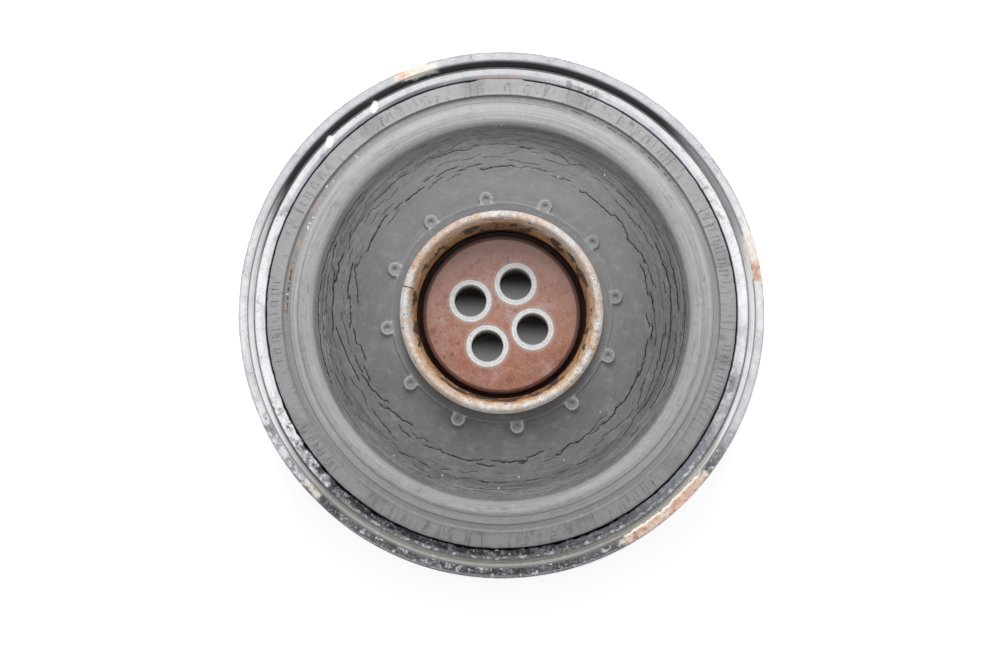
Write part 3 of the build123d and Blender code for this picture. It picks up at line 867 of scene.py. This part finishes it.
        163.2, 335.5, 163.4, 336.5, 164.4),
    (0.45, 325, 169, 329, 169.1),
    (0.95, 329.5, 146.1, 331.5, 146.9, 332.5, 148.8, 334, 149.4, 336, 149.4, 336.5, 151.8, 338, 152.5, 340,
        151.3),
    (0.3, 330, 154.2, 333, 154.8),
    (0.5, 331, 169, 333.5, 168.3),
    (0.5, 333, 182.9, 337, 183.2, 341, 182.8, 346, 183.2, 350, 182.8),
    (0.35, 333.5, 156.3, 336, 155.7),
    (0.95, 336, 169, 341.5, 168.8, 342, 169.6, 342.8, 167.8, 344, 169, 345.5, 169.7, 348.5, 169.4, 351,
        171.1, 352.5, 170.4, 354, 169.2, 356, 169.8, 360, 169.1),
    (0.55, 337, 176.7, 340, 177.1, 343, 176.5),
    (0.25, 338, 143.8, 341, 144.8),
    (0.7, 340.5, 153, 342, 153.8, 346, 153.8, 348.5, 154.4, 350, 155.7),
    (0.85, 341, 147.3, 343, 148, 346, 148.2, 347, 147.3, 350, 147.2, 352.5, 146.9),
    (0.5, 343, 161.1, 347, 161.3, 350, 160.8, 354, 160.7, 357, 160.9, 359, 161.9),
    (0.85, 344, 175.8, 346, 176.8, 349, 176.5, 352, 177.1, 357, 176.3, 360, 176.9),
    (0.3, 349, 152.8, 352, 152.6),
    (0.75, 349.5, 164.8, 352.5, 165.1),
    (1, 352.5, 149.8, 354, 150.7, 355, 151.5, 358, 151.1, 358.5, 152.3, 360, 153.2),
    (0.65, 353, 182.9, 360, 183),
]
bead_cracks = [
    (0.35, 166, 64.8, 169, 64.4, 172, 64.7, 175, 64.3, 178, 64.7, 181, 64.4, 184, 64.8, 187, 64.4, 190,
        64.7),
    (0.3, 196, 65.2, 199, 64.8, 202, 65.3, 205, 65),
    (0.3, 146, 65.3, 149, 65.8, 152, 65.4, 155, 65.7),
    (0.25, 218, 64.6, 222, 64.9, 226, 64.5),
    (0.25, 330, 65, 334, 65.3, 338, 64.9, 342, 65.1),
]


def crack_paths():
    """Strength, bearings in degrees and radii in mm of every crack."""
    for strength, *line in dish_cracks:
        radii = [round(reading * crack_step, 1) for reading in line[1::2]]
        yield strength, np.array(line[0::2], float), np.array(radii)
    for strength, *line in bead_cracks:
        yield strength, np.array(line[0::2], float), np.array(line[1::2])


def crack_lines(points):
    """Depth in a crack from 0 to 1, distance from its line in mm, and its strength."""
    radius, bearing = clock(points)
    depth, power, offset = np.zeros((3, len(points)))
    nearest = np.full(len(points), 9.0)
    reach = np.where(radius > 62.5, 1.7, 1)
    wander = (rough(points, 0.8, 21) - 0.5) * 0.5
    for strength, turns, radii in crack_paths():
        inside = (bearing > turns[0] - 1.7) & (bearing < turns[-1] + 1.7)
        inside &= (radius > radii.min() - 1) & (radius < radii.max() + 1)
        if not inside.any():
            continue
        along = bearing[inside]
        path = np.interp(along, turns, radii) + wander[inside]
        slope = np.interp(along + 0.5, turns, radii) - np.interp(along - 0.5, turns, radii)
        side = (radius[inside] - path) * np.cos(np.arctan2(slope, radius[inside] * math.radians(1)))
        off = np.abs(side)
        ends = ease(along, turns[0] - 1.6, turns[0] - 0.1)
        ends = np.minimum(ends, 1 - ease(along, turns[-1] + 0.1, turns[-1] + 1.6))
        cut = strength * ends * np.clip(1 - off / (0.16 + 0.1 * strength), 0, 1)
        depth[inside] = np.maximum(depth[inside], cut)
        closer = off < nearest[inside]
        rows = np.flatnonzero(inside)[closer]
        nearest[rows], offset[rows] = off[closer], side[closer]
        power[rows] = (strength * ends * (1 - ease(off / reach[inside], 0.32, 0.5)))[closer]
    return depth, offset, power


print("there are", len(dish_cracks) + len(bead_cracks), "cracks")

# %% Rubber: lugs
lug_count, lug_start = 12, 22.2
lug_circle, lug_radius, dimple_radius, dimple_depth = 37.9, 2.45, 0.85, 0.7


def raise_plateau(points):
    """Height of the raised ring and its lugs over the dish, less the dimples, and a painted highlight on
    their edges.
    """
    radius, bearing = clock(points)
    step = 360 / lug_count
    off = np.radians((bearing - lug_start + step / 2) % step - step / 2)
    away = np.hypot(radius * np.cos(off) - lug_circle, radius * np.sin(off))
    inside_ring, inside_lug = radius - plateau_radius, away - lug_radius
    blend = np.clip(0.5 + (inside_ring - inside_lug) / 1.6, 0, 1)
    outline = inside_ring * (1 - blend) + inside_lug * blend - 0.8 * blend * (1 - blend)
    lip = np.exp(-((outline + 0.4) / 0.26) ** 2)
    dimple = (1 - ease(away, dimple_radius - 0.35, dimple_radius + 0.15)) * dimple_depth
    slope_up = np.maximum(inside_ring, 0) * -dish_slope
    # a painted highlight along the ring's edge and on each lug
    highlight = lip * (0.35 + 0.65 * (1 - ease(away, 2.8, 3.6))) + 0.3 * (1 - ease(away, 1.9, 2.4))
    return (1 - ease(outline, -0.35, 0.15)) * (plateau_rise + slope_up) + lip * 0.16 - dimple, highlight


print("lugs every", 360 / lug_count, "degrees")

# %% [markdown]
# ### Finish of the rubber
# Old rubber is grey, paler on its high places and darker where it flexes. The cracks are
# nearly black. The mesh carries each point's distance from its crack as an attribute, and the
# finish reads it, so colour and groove fall in the same place.

# %% Rubber finish
# Greys by radius. The dip from 70.3 to 71.9 mm is painted shade on the band's inner shoulder.
rubber_greys = [
    (33.5, 140), (37, 134), (40, 125), (44, 120), (48, 119), (56, 122), (60, 133),
    (61.8, 118), (62.6, 168), (64.5, 179), (66.9, 175), (68.5, 187), (69.6, 176), (70.3, 157),
    (71.9, 144), (72.3, 172), (78, 170),
]
band_splits = [4, 12, 29, 66, 88, 95, 98, 119, 203, 238, 262, 281, 318, 333, 337, 348]
white_flecks = [
    (91, 57.6), (84, 54.2), (67, 52.6), (110, 56.9), (127, 58.9), (306.5, 57.2), (45, 46),
    (292.5, 49), (270, 62.2),
]


def grade(finish, value, stops):
    """Greys along a value: stops are (value, level from 0 to 255) pairs."""
    low, high = stops[0][0], stops[-1][0]
    part = finish.node("MapRange", {"Value": value, "From Min": low, "From Max": high})
    made = finish.node("ValToRGB", {0: part})
    steps = made.socket.node.color_ramp.elements
    for spare in range(len(stops) - 2):
        steps.new(0.5)
    for step, (place, level) in zip(steps, stops):
        step.position = (place - low) / (high - low)
        step.color = colour(level, level, level)
    return made


def rubber_finish():
    rubber = Coat("aged_rubber")
    bearing, swept = rubber.bearing, rubber.swept
    at, ring, past = rubber.at, rubber.ring, rubber.past
    power, offset, edge_highlight = [
        rubber.node("Attribute", out="Fac", attribute_name=name) for name in ("crack", "offset", "edge_highlight")
    ]
    cut = (abs(offset) / (power * 0.17 + 0.03)).ramp(1.25, 0.45) * power.ramp(0.02, 0.75)
    streaks, hairs, ringed = swept(5, 1.5), swept(60, 0.22, 2), swept(1.4, 2.6, 2)
    dust, blotch, cloud, grain = rubber.noises((1000, 3, 0.7), (240, 4, 0.7), (60,), (620, 5, 0.8))
    flat, rolled, bead = past(71.9, 72.3), past(62, 62.8), ring(62.6, 71.8, 0.6)

    def veins(source, width):
        """Thin lines where a noise passes its middle."""
        return abs(source - 0.5).ramp(width, 0)

    lines = veins(swept(3.6, 0.8, 2.5), 0.022) * blotch.ramp(0.34, 0.5)
    small = veins(swept(8, 2, 2.5), 0.035) * cloud.ramp(0.38, 0.58)
    sheets = veins(swept(2.2, 3.4, 2), 0.05) * ring(55.5, 61.8, 1)
    worn = any_of([lines * 0.55, small * 0.42, sheets * 0.6])
    worn = worn * ring(46.5, 61.6, 1.2) * past(52, 57.5, 0.35, 1)
    worn = worn.most(lines * ring(63.5, 68.5, 1) * cloud.ramp(0.42, 0.55) * 0.34)

    smudge = (bearing + (blotch - 0.5) * 3).wrap(27.7).band(10, 16, 1.6) * cloud.ramp(0.4, 0.6)
    lower = at(110, 95, 25)
    # painted shade on the steps of the bead and band, and in the gap at the band's outer edge
    dark_marks = any_of([
        ring(67.05, 67.3, 0.1) * lower * 0.55,
        ring(69.7, 69.95, 0.1) * (0.25 + lower * 0.4),
        ring(72, 72.2, 0.12) * (0.75 - lower * 0.45),
        ring(77.45, 78, 0.05) * 0.5,
    ])
    dark_marks = dark_marks * (1 - at(269.5, 5.8, 0.8)).most(past(77, 76))
    torn = at(187, 7, 3) * ring(70.3, 71, 0.25) * dust.ramp(0.42, 0.56)
    scuffed = at(306, 20, 6) * ring(70.5, 71.2, 0.2) * dust.ramp(0.46, 0.56)
    chalk = at(205, 24, 8) * ring(69.4, 71.6, 0.4) * rubber.noise(700, 2).ramp(0.66, 0.7)
    ragged = bearing + (grain - 0.5) * 2.4
    split = any_of([ragged.facing(turn, 0.09, 0.09) for turn in band_splits])

    def fleck(turn, reach):
        """A small white fleck at a bearing and a radius."""
        east, ahead = reach * math.cos(math.radians(turn)), -reach * math.sin(math.radians(turn))
        away = (rubber.x * 1000 - east) ** 2 + (rubber.y * 1000 - ahead) ** 2 * 0.45
        return (away + (dust - 0.5) * 0.4).ramp(0.11, 0.02)

    tone = rubber.layered(
        grade(rubber, rubber.radius, rubber_greys),
        (streaks.ramp(0.3, 0.62, 0.17, 0) * (1 - rolled * 0.7), 78, 78, 79),
        (grain.ramp(0.46, 0.3) * (0.12 + rolled * 0.22), 84, 84, 86),
        (grain.ramp(0.54, 0.7) * (0.1 + rolled * 0.2), 226, 226, 228),
        (ringed.ramp(0.46, 0.36) * bead * 0.26, 118, 118, 120),
        (ringed.ramp(0.54, 0.64) * bead * 0.24, 222, 222, 224),
        (at(272, 55, 40) * ring(40, 56, 2) * 0.26, 168, 168, 169),  # painted light on the far slope of the dish
        (at(92, 50, 24) * past(50, 38) * 0.4, 72, 72, 73),  # painted shadow of the collar on the near side
        # painted shadow under the collar on the near side, among the lugs
        (at(95, 30, 20) * ring(35.5, 39.5, 1) * 0.26, 60, 60, 61),
        (at(356, 34, 16) * ring(48.5, 55.5, 1.6) * 0.2, 62, 62, 63),
        (at(215, 48, 22) * ring(57.5, 63.2, 1.2) * 0.2, 196, 196, 197),  # painted light on the valley and the bead's inner slope, top left
        # painted shade on the bead's inner slope on the near side
        (at(88, 42, 20) * ring(61, 63.6, 0.8) * 0.2, 70, 70, 72),
        (blotch.ramp(0.5, 0.72) * 0.22, 176, 176, 176),
        (cloud.ramp(0.35, 0.7) * 0.16, 160, 160, 158),
        (worn, 40, 40, 41),
        (dust.ramp(0.62, 0.76) * 0.22, 214, 214, 214),
        (hairs.ramp(0.55, 0.66) * flat * 0.42, 104, 104, 105),
        (smudge * flat * 0.3, 96, 96, 97),
        # painted shade on the steps and at the band's edge
        (dark_marks, 44, 44, 46),
        # painted highlight at the band's inner edge away from the near side, and painted shade there on the
        # near side
        (ring(72.35, 72.5, 0.12) * (0.2 - lower * 0.2), 214, 214, 216),
        (ring(72.05, 72.6, 0.15) * lower * 0.45, 104, 104, 105),
        # painted highlight on the edges of the raised ring and lugs, fainter on the right
        (edge_highlight * (1 - at(345, 40, 20) * 0.5) * 0.6, 206, 206, 205),
        (at(27, 9, 5) * past(76.2, 77.2) * 0.45, 60, 60, 62),  # pinched edge
        (at(196, 17, 5) * ring(69.9, 71.4, 0.5) * blotch.ramp(0.44, 0.6) * 0.6, 196, 164, 142),
        ((torn * 0.85).most(scuffed * 0.65), 44, 36, 33),
        (chalk, 248, 248, 248),
        (split * flat * 0.62, 50, 50, 51),
        (any_of([fleck(*spot) for spot in white_flecks]) * 0.65, 228, 228, 226),
        (cut * 0.93, 16, 16, 17),
    )
    relief = dust * 0.6 + hairs * flat * 1.5 + streaks - worn * 3 + blotch * 0.5
    return rubber.surface(tone, 0.66 + dust * 0.2 - rolled * 0.1, relief, 0.00016)


def press_rubber(piece, rows, count):
    """Raises the lugs and presses the cracks into the front rows of every column."""
    points = read_points(piece).reshape(-1, count, 3)
    front = points[:, :rows].reshape(-1, 3)
    radius, bearing = clock(front)
    depth, offset, power = crack_lines(front)
    lift, lip = raise_plateau(front)
    by_collar = radius < 43
    steps = 0.12 * (1 - ease(radius, 67.1, 67.35)) + 0.16 * (1 - ease(radius, 69.9, 70.2))
    steps *= ease(radius, 64.5, 66.5)
    stuck = about(bearing, 269.5, 5.8, 0.8) * 0.4 + (rough(front, 2.2, 24) - 0.5) * 0.26
    front[:, :2] *= (1 + np.minimum(stuck, 0.42) * ease(radius, 76.9, 77.4) / radius)[:, None]
    front[:, 2] += lift * by_collar + steps - depth * 0.55 + (rough(front, 2.6, 23) - 0.5) * 0.06
    points[:, :rows] = front.reshape(-1, rows, 3)
    write_points(piece, points.reshape(-1, 3))
    for name, values in (("crack", power), ("offset", offset), ("edge_highlight", lip * by_collar)):
        shade = np.zeros(points.shape[:2])
        shade[:, :rows] = values.reshape(-1, rows)
        attribute = piece.data.attributes.new(name, "FLOAT", "POINT")
        attribute.data.foreach_set("value", shade.ravel())


decoupler = turned("decoupler_rubber_aged", rubber_points, 700, rubber_finish())
press_rubber(decoupler, front_rows, len(rubber_points))
settle(decoupler, 50, "decoupler_rubber")

# %% [markdown]
# ## Moulded marks
# Moulds leave raised marks on a flat band. Here they are plain strokes, long and short, that
# spell nothing. A stroke is repeated about 160 times, so it is an instance: the points carry
# each bar's turn, length and breadth, and the tree sets one small bar on every point.

# %% Moulded marks
marking_tree = make_tree(
    "set_strokes",
    {"Places": "Geometry", "Height": "Float", "Lean": "Float", "Finish": "Material"},
    {
        "turn": "InputNamedAttribute", "length": "InputNamedAttribute", "breadth": "InputNamedAttribute",
        "angles": "NodeCombineXYZ", "scale": "NodeCombineXYZ", "bar": "MeshCube",
        "spread": "InstanceOnPoints",
    },
    {
        "angles.Y": "inputs.Lean", "angles.Z": "turn.Attribute", "scale.X": "length.Attribute",
        "scale.Y": "breadth.Attribute", "scale.Z": "inputs.Height", "spread.Points": "inputs.Places",
        "spread.Instance": "bar.Mesh", "spread.Rotation": "angles.Vector", "spread.Scale": "scale.Vector",
        "real.Geometry": "spread.Instances",
    },
    {"turn.Name": "turn", "length.Name": "length", "breadth.Name": "breadth", "bar.Size": (1, 1, 1)},
)
stroke_groups = [
    (8, 7), (46, 5), (70, 7), (103, 6), (137, 6), (168, 9), (207, 6), (238, 6), (264, 8), (301, 7), (335, 7)
]
stroke_width, stroke_length, short_length, stroke_height, stroke_seed = 0.34, 2.9, 1.4, 0.36, 41
chances = {"bar": 0.4, "short": 0.22, "gate": 0.33, "ladder": 0.05}
rungs = {"gate": [76.2], "ladder": [73.6, 74.9, 76.2]}


def stroke_places(draw):
    """Place, turn, length and breadth of every bar along the band, in metres."""
    bars = []

    def bar(bearing, middle, length, breadth):
        angle = -math.radians(bearing)
        rise = band_top - (middle - band_inner) * band_fall + 0.02
        place = [MM * part for part in (middle * math.cos(angle), middle * math.sin(angle), rise)]
        bars.append((place, angle, MM * length, MM * breadth))

    for bearing, count in stroke_groups:
        for _ in range(count):
            kind = draw.choice(list(chances), p=list(chances.values()))
            bar(bearing, 74.9, short_length if kind == "short" else stroke_length, stroke_width)
            if kind in rungs:
                bar(bearing + 1.15, 74.9, stroke_length, stroke_width)
            for middle in rungs.get(kind, []):
                bar(bearing + 0.57, middle, stroke_width, 1.5)
            bearing += 3 if kind in rungs else 2
    return zip(*bars)


places, turns, lengths, breadths = stroke_places(np.random.default_rng(stroke_seed))
dots = bpy.data.meshes.new("stroke_places")
dots.from_pydata(places, [], [])
for name, values in (("turn", turns), ("length", lengths), ("breadth", breadths)):
    dots.attributes.new(name, "FLOAT", "POINT").data.foreach_set("value", values)
stroke_values = {
    "Height": stroke_height * MM, "Lean": math.atan(band_fall), "Finish": decoupler.data.materials[0]
}
band_marks = put("band_marks", apply_tree(put("stroke_places", dots), marking_tree, stroke_values))
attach(band_marks, "root")
print("band_marks has", len(places), "strokes")

# %% [markdown]
# ## Collar
# The collar is a thick steel tube that stands out of the rubber. Its mouth is turned a little
# wider than its bore, and its lip is rounded. It is the rustiest piece: white zinc bloom,
# orange rust and dark scale lie over one another.

# %% Collar
collar_section = section(
    (28, 51, 0, 0.6), (28.5, 54, 0, 0.6), (29.5, 58, 0, 0.6), (30.6, 61, 0.5, 0.4),
    (31.3, 61.9, 0.4, 0.4), (32.4, 61.9, 0.5, 0.4), (33.5, 60.4, 0.6, 0.4), (33.5, 55, 0, 1),
    (33.5, 26.8), (32.7, 26), (28, 26), (28, 45, 0, 1),
)


def collar_finish():
    scale = Coat("rusted_collar_steel")
    height, at, ring, past = scale.height, scale.at, scale.ring, scale.past
    fine, middling, broad = scale.noises((1500, 3, 0.75), (420, 4, 0.7), (125, 4, 0.65))
    streaked = scale.swept(4.2, 0.12, 4, 0.62, height)
    lines = scale.swept(4, 0.8, 4, 0.7, height)
    lip = (height + (middling - 0.5) * 2.2).ramp(58, 59.8)
    bloom = scale.mix(middling.ramp(0.38, 0.62), (252, 250, 247), (214, 213, 210))
    bloom = scale.layered(bloom, (fine.ramp(0.56, 0.68) * 0.6, 150, 146, 142))
    rust = scale.mix(middling.ramp(0.36, 0.64), (244, 228, 208), (214, 184, 158))
    rust = scale.layered(rust, (fine.ramp(0.56, 0.7) * 0.7, 152, 120, 100))
    # painted light on the left and right of the inner wall, and painted shade at its top and bottom lower
    # down
    sides = (1 - at(270, 22, 14)) * (1 - at(90, 48, 16))
    deep = at(90, 48, 16).most(at(270, 16, 10)) * past(30, 29)
    flaked = streaked * 0.75 + broad * 0.1 + middling * 0.15
    inner = scale.layered(
        scale.mix(middling.ramp(0.35, 0.65), (196, 150, 100), (150, 106, 70)),
        (lines.ramp(0.54, 0.62) * 0.75, 232, 192, 142),
        (fine.ramp(0.6, 0.7) * 0.4, 226, 196, 160),
        (sides * past(28.6, 29.6) * 0.6, 232, 204, 170),
        (deep * 0.5, 96, 70, 50),
        (flaked.ramp(0.5, 0.53) * 0.92, 50, 46, 45),
        # painted shade, darker deeper down the inner wall
        (height.ramp(51.5, 47.5) * 0.85, 44, 34, 30),
    )
    mouth = past(31.4, 30.2) * (lines * 0.5 + middling * 0.5).ramp(0.42, 0.54)
    foot = past(33.1, 33.4) * height.ramp(60, 59.2)
    outer = scale.layered(
        scale.mix((broad * 0.65 + middling * 0.35).ramp(0.44, 0.53), bloom, rust),
        (lines.ramp(0.56, 0.64) * 0.4, 188, 146, 112),
        (mouth * 0.75, 214, 162, 108),
    )
    tone = scale.layered(
        scale.mix(lip, inner, outer),
        # painted light on the near side of the lip
        (at(95, 50, 20) * ring(31.4, 33.2, 0.5) * 0.45, 244, 236, 224),
        (at(228, 26, 18).most(at(128, 14, 12) * 0.7) * lip * 0.4, 212, 176, 152),  # tanned
        (at(318, 26, 18).most(at(172, 14, 10)) * lip * 0.38, 238, 238, 240),  # pale
        (middling.ramp(0.43, 0.36) * fine.ramp(0.45, 0.55) * 0.8, 70, 60, 56),
        # painted shade on the collar's outer wall below the lip
        (foot * (0.6 + at(178, 32, 16) * 0.35 - at(90, 50, 16) * 0.35), 60, 48, 42),
        (scale.bearing.band(194.4, 195.2, 0.2) * lip * 0.9, 58, 48, 44),  # a score in the lip
    )
    relief = fine * 0.8 + middling * 1.6 + streaked * (1 - lip) * 2.5
    return scale.surface(tone, 0.5 + fine * 0.3, relief, 0.0004, 0.8, 0.2 * lip)


collar = turned("collar_rusted", collar_section, 480, collar_finish())
collar_points = read_points(collar)
wobble = (rough(collar_points, 4, 31) - 0.5) * 0.35 + (rough(collar_points, 1.3, 32) - 0.5) * 0.25
collar_points[:, 2] += ease(collar_points[:, 2], 56, 60.5) * (wobble - 0.12)
write_points(collar, collar_points)
settle(collar, 45, "collar")

# %% [markdown]
# ## Hub
# The hub carries everything: a disc with four bolt holes in the well, a snout behind it that
# fits the crankshaft, and a wide cup that holds the damper. The holes repeat round a circle,
# so a tree sets one cutter at each place of the pattern and cuts them all at once. It runs
# twice, first for the holes and then for the shallow seats of the bolt heads.

# %% Hub: blank
disc_face = 46
hub_section = section(
    (0, disc_face), (26.3, disc_face, 1.5), (26.3, 38), (28, 38), (28, 26), (60, 26, 4),
    (60, 40.5, 0.8), (64, 40.5, 0.8), (64, 25), (72, 25), (72, 22, 0.8), (64, 22),
    (64, 1, 0.8), (60, 1), (60, 18, 4), (29, 18, 4), (29, 6, 0.8),
    (23, 6, 0.8), (23, 18), (0, 18),
)

# %% Hub: cutting tree for the bolt holes
hole_radius, seat_radius, seat_depth = 5.25, 7.1, 0.2
cutter_depth, cutter_corners = 0.2, 96
drill_tree = make_tree(
    "drill_a_pattern",
    {
        "Blank": "Geometry", "Count": "Int", "Circle Radius": "Float", "Turn": "Float",
        "Cutter Radius": "Float", "Cutter Height": "Float", "Finish": "Material",
    },
    {
        "circle": "MeshCircle", "angles": "NodeCombineXYZ", "spin": "Transform", "cutter": "MeshCylinder",
        "lift": "NodeCombineXYZ", "raised": "Transform", "spread": "InstanceOnPoints",
        "cutters": "RealizeInstances", "cut": "MeshBoolean",
    },
    {
        "circle.Vertices": "inputs.Count", "circle.Radius": "inputs.Circle Radius",
        "angles.Z": "inputs.Turn", "spin.Geometry": "circle.Mesh", "spin.Rotation": "angles.Vector",
        "cutter.Radius": "inputs.Cutter Radius", "lift.Z": "inputs.Cutter Height",
        "raised.Geometry": "cutter.Mesh", "raised.Translation": "lift.Vector",
        "spread.Points": "spin.Geometry", "spread.Instance": "raised.Geometry",
        "cutters.Geometry": "spread.Instances", "cut.Mesh 1": "inputs.Blank",
        "cut.Mesh 2": "cutters.Geometry", "real.Geometry": "cut.Mesh",
    },
    {
        "cutter.Vertices": cutter_corners, "cutter.Depth": cutter_depth,
        "cut.operation": "DIFFERENCE", "cut.solver": "EXACT",
    },
)

# %% Hub: finish
def hub_finish():
    hub = Coat("rusted_hub_steel")
    height, past = hub.height, hub.past
    mapped = hub.node("Mapping", {"Vector": hub.place, "Rotation": (0, 0, -bolt_turn)})
    x = hub.node("SeparateXYZ", {0: mapped})
    side, other = abs(x), abs(x.other("Y"))
    long, short = side.most(other) * 1000, side.least(other) * 1000
    away = ((long - bolt_circle) ** 2 + short * short) ** 0.5
    fine, middling, broad, patches = hub.noises((1800, 3, 0.75), (420, 4, 0.65), (85,), (190, 4, 0.7))
    painted_light_far = hub.y.ramp(-0.012, 0.02)
    front = height.ramp(45.4, 45.7)
    seat = (away + (middling - 0.5) * 0.5).ramp(7.15, 6.75) * front
    halo = (away + (fine - 0.5) * 1.2).ramp(6.9, 8.4, 0.45, 0) * front
    tone = hub.layered(
        hub.mix(broad.ramp(0.38, 0.62), (176, 124, 106), (182, 140, 128)),
        # painted light on the far half of the disc, where the collar throws its shadow
        (painted_light_far * 0.7, 206, 170, 162),
        (middling.ramp(0.46, 0.66) * 0.55, 184, 122, 94),
        (middling.ramp(0.46, 0.32) * 0.6, 128, 86, 78),
        (patches.ramp(0.52, 0.7) * 0.5, 200, 180, 180),
        (patches.ramp(0.48, 0.34) * 0.5, 146, 92, 74),
        (fine.ramp(0.56, 0.68) * 0.65, 230, 184, 150),
        (fine.ramp(0.42, 0.32) * 0.45, 112, 74, 64),
        # more painted light at the far edge of the disc
        (past(17, 22.5) * painted_light_far * 0.45, 234, 198, 188),
        # painted shade round the edge of the disc, in the corner of the well
        (past(24.7, 25) * height.ramp(37, 38) * 0.72, 92, 62, 54),
        (halo, 206, 200, 198),
        (seat, hub.mix(fine.ramp(0.4, 0.7), (252, 253, 252), (216, 220, 218))),
        (away.band(5.1, 5.5, 0.12) * front * 0.5, 150, 152, 150),
        (away.band(6.1, 6.3, 0.14) * front * 0.32, 140, 143, 141),
        (away.ramp(5.5, 5.3) * (1 - front) * past(20.2, 20) * 0.95, 206, 209, 204),  # bores
        (height.ramp(37, 36) * 0.5, 112, 84, 72),  # the rear
    )
    gloss = 0.72 - seat * 0.25 + fine * 0.15
    return hub.surface(tone, gloss, fine + middling * 1.5, 0.00025, 0.6, seat * 0.2)


hub = turned("hub_blank", hub_section, 240, hub_finish())
pattern = {"Count": bolt_count, "Circle Radius": bolt_circle * MM, "Turn": bolt_turn}
pattern["Finish"] = hub.data.materials[0]
seat_height = cutter_depth / 2 + (disc_face - seat_depth) * MM
for radius, height in ((hole_radius, 0.0), (seat_radius, seat_height)):
    cutter = {"Cutter Radius": radius * MM, "Cutter Height": height}
    hub = put("hub_drilled", apply_tree(hub, drill_tree, {**pattern, **cutter}))
settle(hub, 30, "hub")

# %% [markdown]
# ## Vibration damper and inner pieces
# Behind the hub an iron ring hangs on a band of rubber. The two damp the crankshaft's twist.
# They are plain turned pieces with their own finishes.

# %% Damper pieces
def iron_finish():
    iron = Coat("turned_black_iron")
    fine, broad = iron.noises((1400, 3, 0.7), (90, 4, 0.65))
    tooling = (iron.radius * 14).maths("SINE") * 0.5 + 0.5
    tone = iron.layered(
        iron.mix(broad.ramp(0.35, 0.65), (44, 45, 47), (62, 61, 60)),
        (broad.ramp(0.62, 0.72) * 0.6, 118, 80, 60),
        (fine.ramp(0.62, 0.74) * 0.4, 96, 94, 92),
    )
    return iron.surface(tone, 0.5 + fine * 0.25, fine + tooling * 0.7, 0.0001, metallic=0.35)


def black_rubber_finish():
    black = Coat("black_damper_rubber")
    fine, broad = black.noises((1100, 3, 0.7), (120,))
    tone = black.mix(broad.ramp(0.35, 0.7), (40, 40, 41), (64, 63, 61))
    tone = black.layered(tone, (fine.ramp(0.6, 0.75) * 0.3, 110, 108, 104))
    return black.surface(tone, 0.7 + fine * 0.2, fine, 0.00012)


iron_section = section((66.5, 20, 0.6), (82, 20, 1.2), (82, 0, 1.2), (66.5, 0, 0.6))
iron_ring = turned("inertia_ring_turned", iron_section, 360, iron_finish())
settle(iron_ring, 40, "inertia_ring")

rubber_band = [(64, 18.5), (64.6, 18), (65.25, 17.7), (65.9, 18), (66.5, 18.5)]
rubber_band += [(66.5, 1.5), (65.9, 2), (65.25, 2.3), (64.6, 2), (64, 1.5)]
damper_band = turned("damper_rubber_band", rubber_band, 360, black_rubber_finish())
settle(damper_band, 40, "damper_rubber")

# %% Finishes for the inner pieces
def plain_finish(name, light, dark, size, gloss, metallic, depth):
    """A finish for pieces that are nearly hidden: two tones, a grain and a fine relief."""
    made = Coat(name)
    fine, broad = made.noises((size, 3, 0.7), (size / 8,))
    tone = made.mix(broad.ramp(0.35, 0.65), light, dark)
    tone = made.mix(fine.ramp(0.58, 0.72) * 0.4, tone, dark)
    return made.surface(tone, gloss + fine * 0.15, fine, depth, metallic=metallic)


bond_steel = plain_finish("bond_steel", (150, 150, 152), (104, 92, 84), 900, 0.45, 0.8, 0.00012)
bush_plastic = plain_finish("bush_plastic", (58, 62, 56), (40, 42, 40), 1200, 0.5, 0, 0.00008)
for finish, pieces in (
    (bond_steel, ("inner_bond_sleeve", "outer_bond_ring")), (bush_plastic, ("slide_bush", "thrust_ring"))
):
    for piece in pieces:
        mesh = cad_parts[piece].data
        mesh.materials.clear()
        mesh.materials.append(finish)
        print(piece, "now has", finish.name)
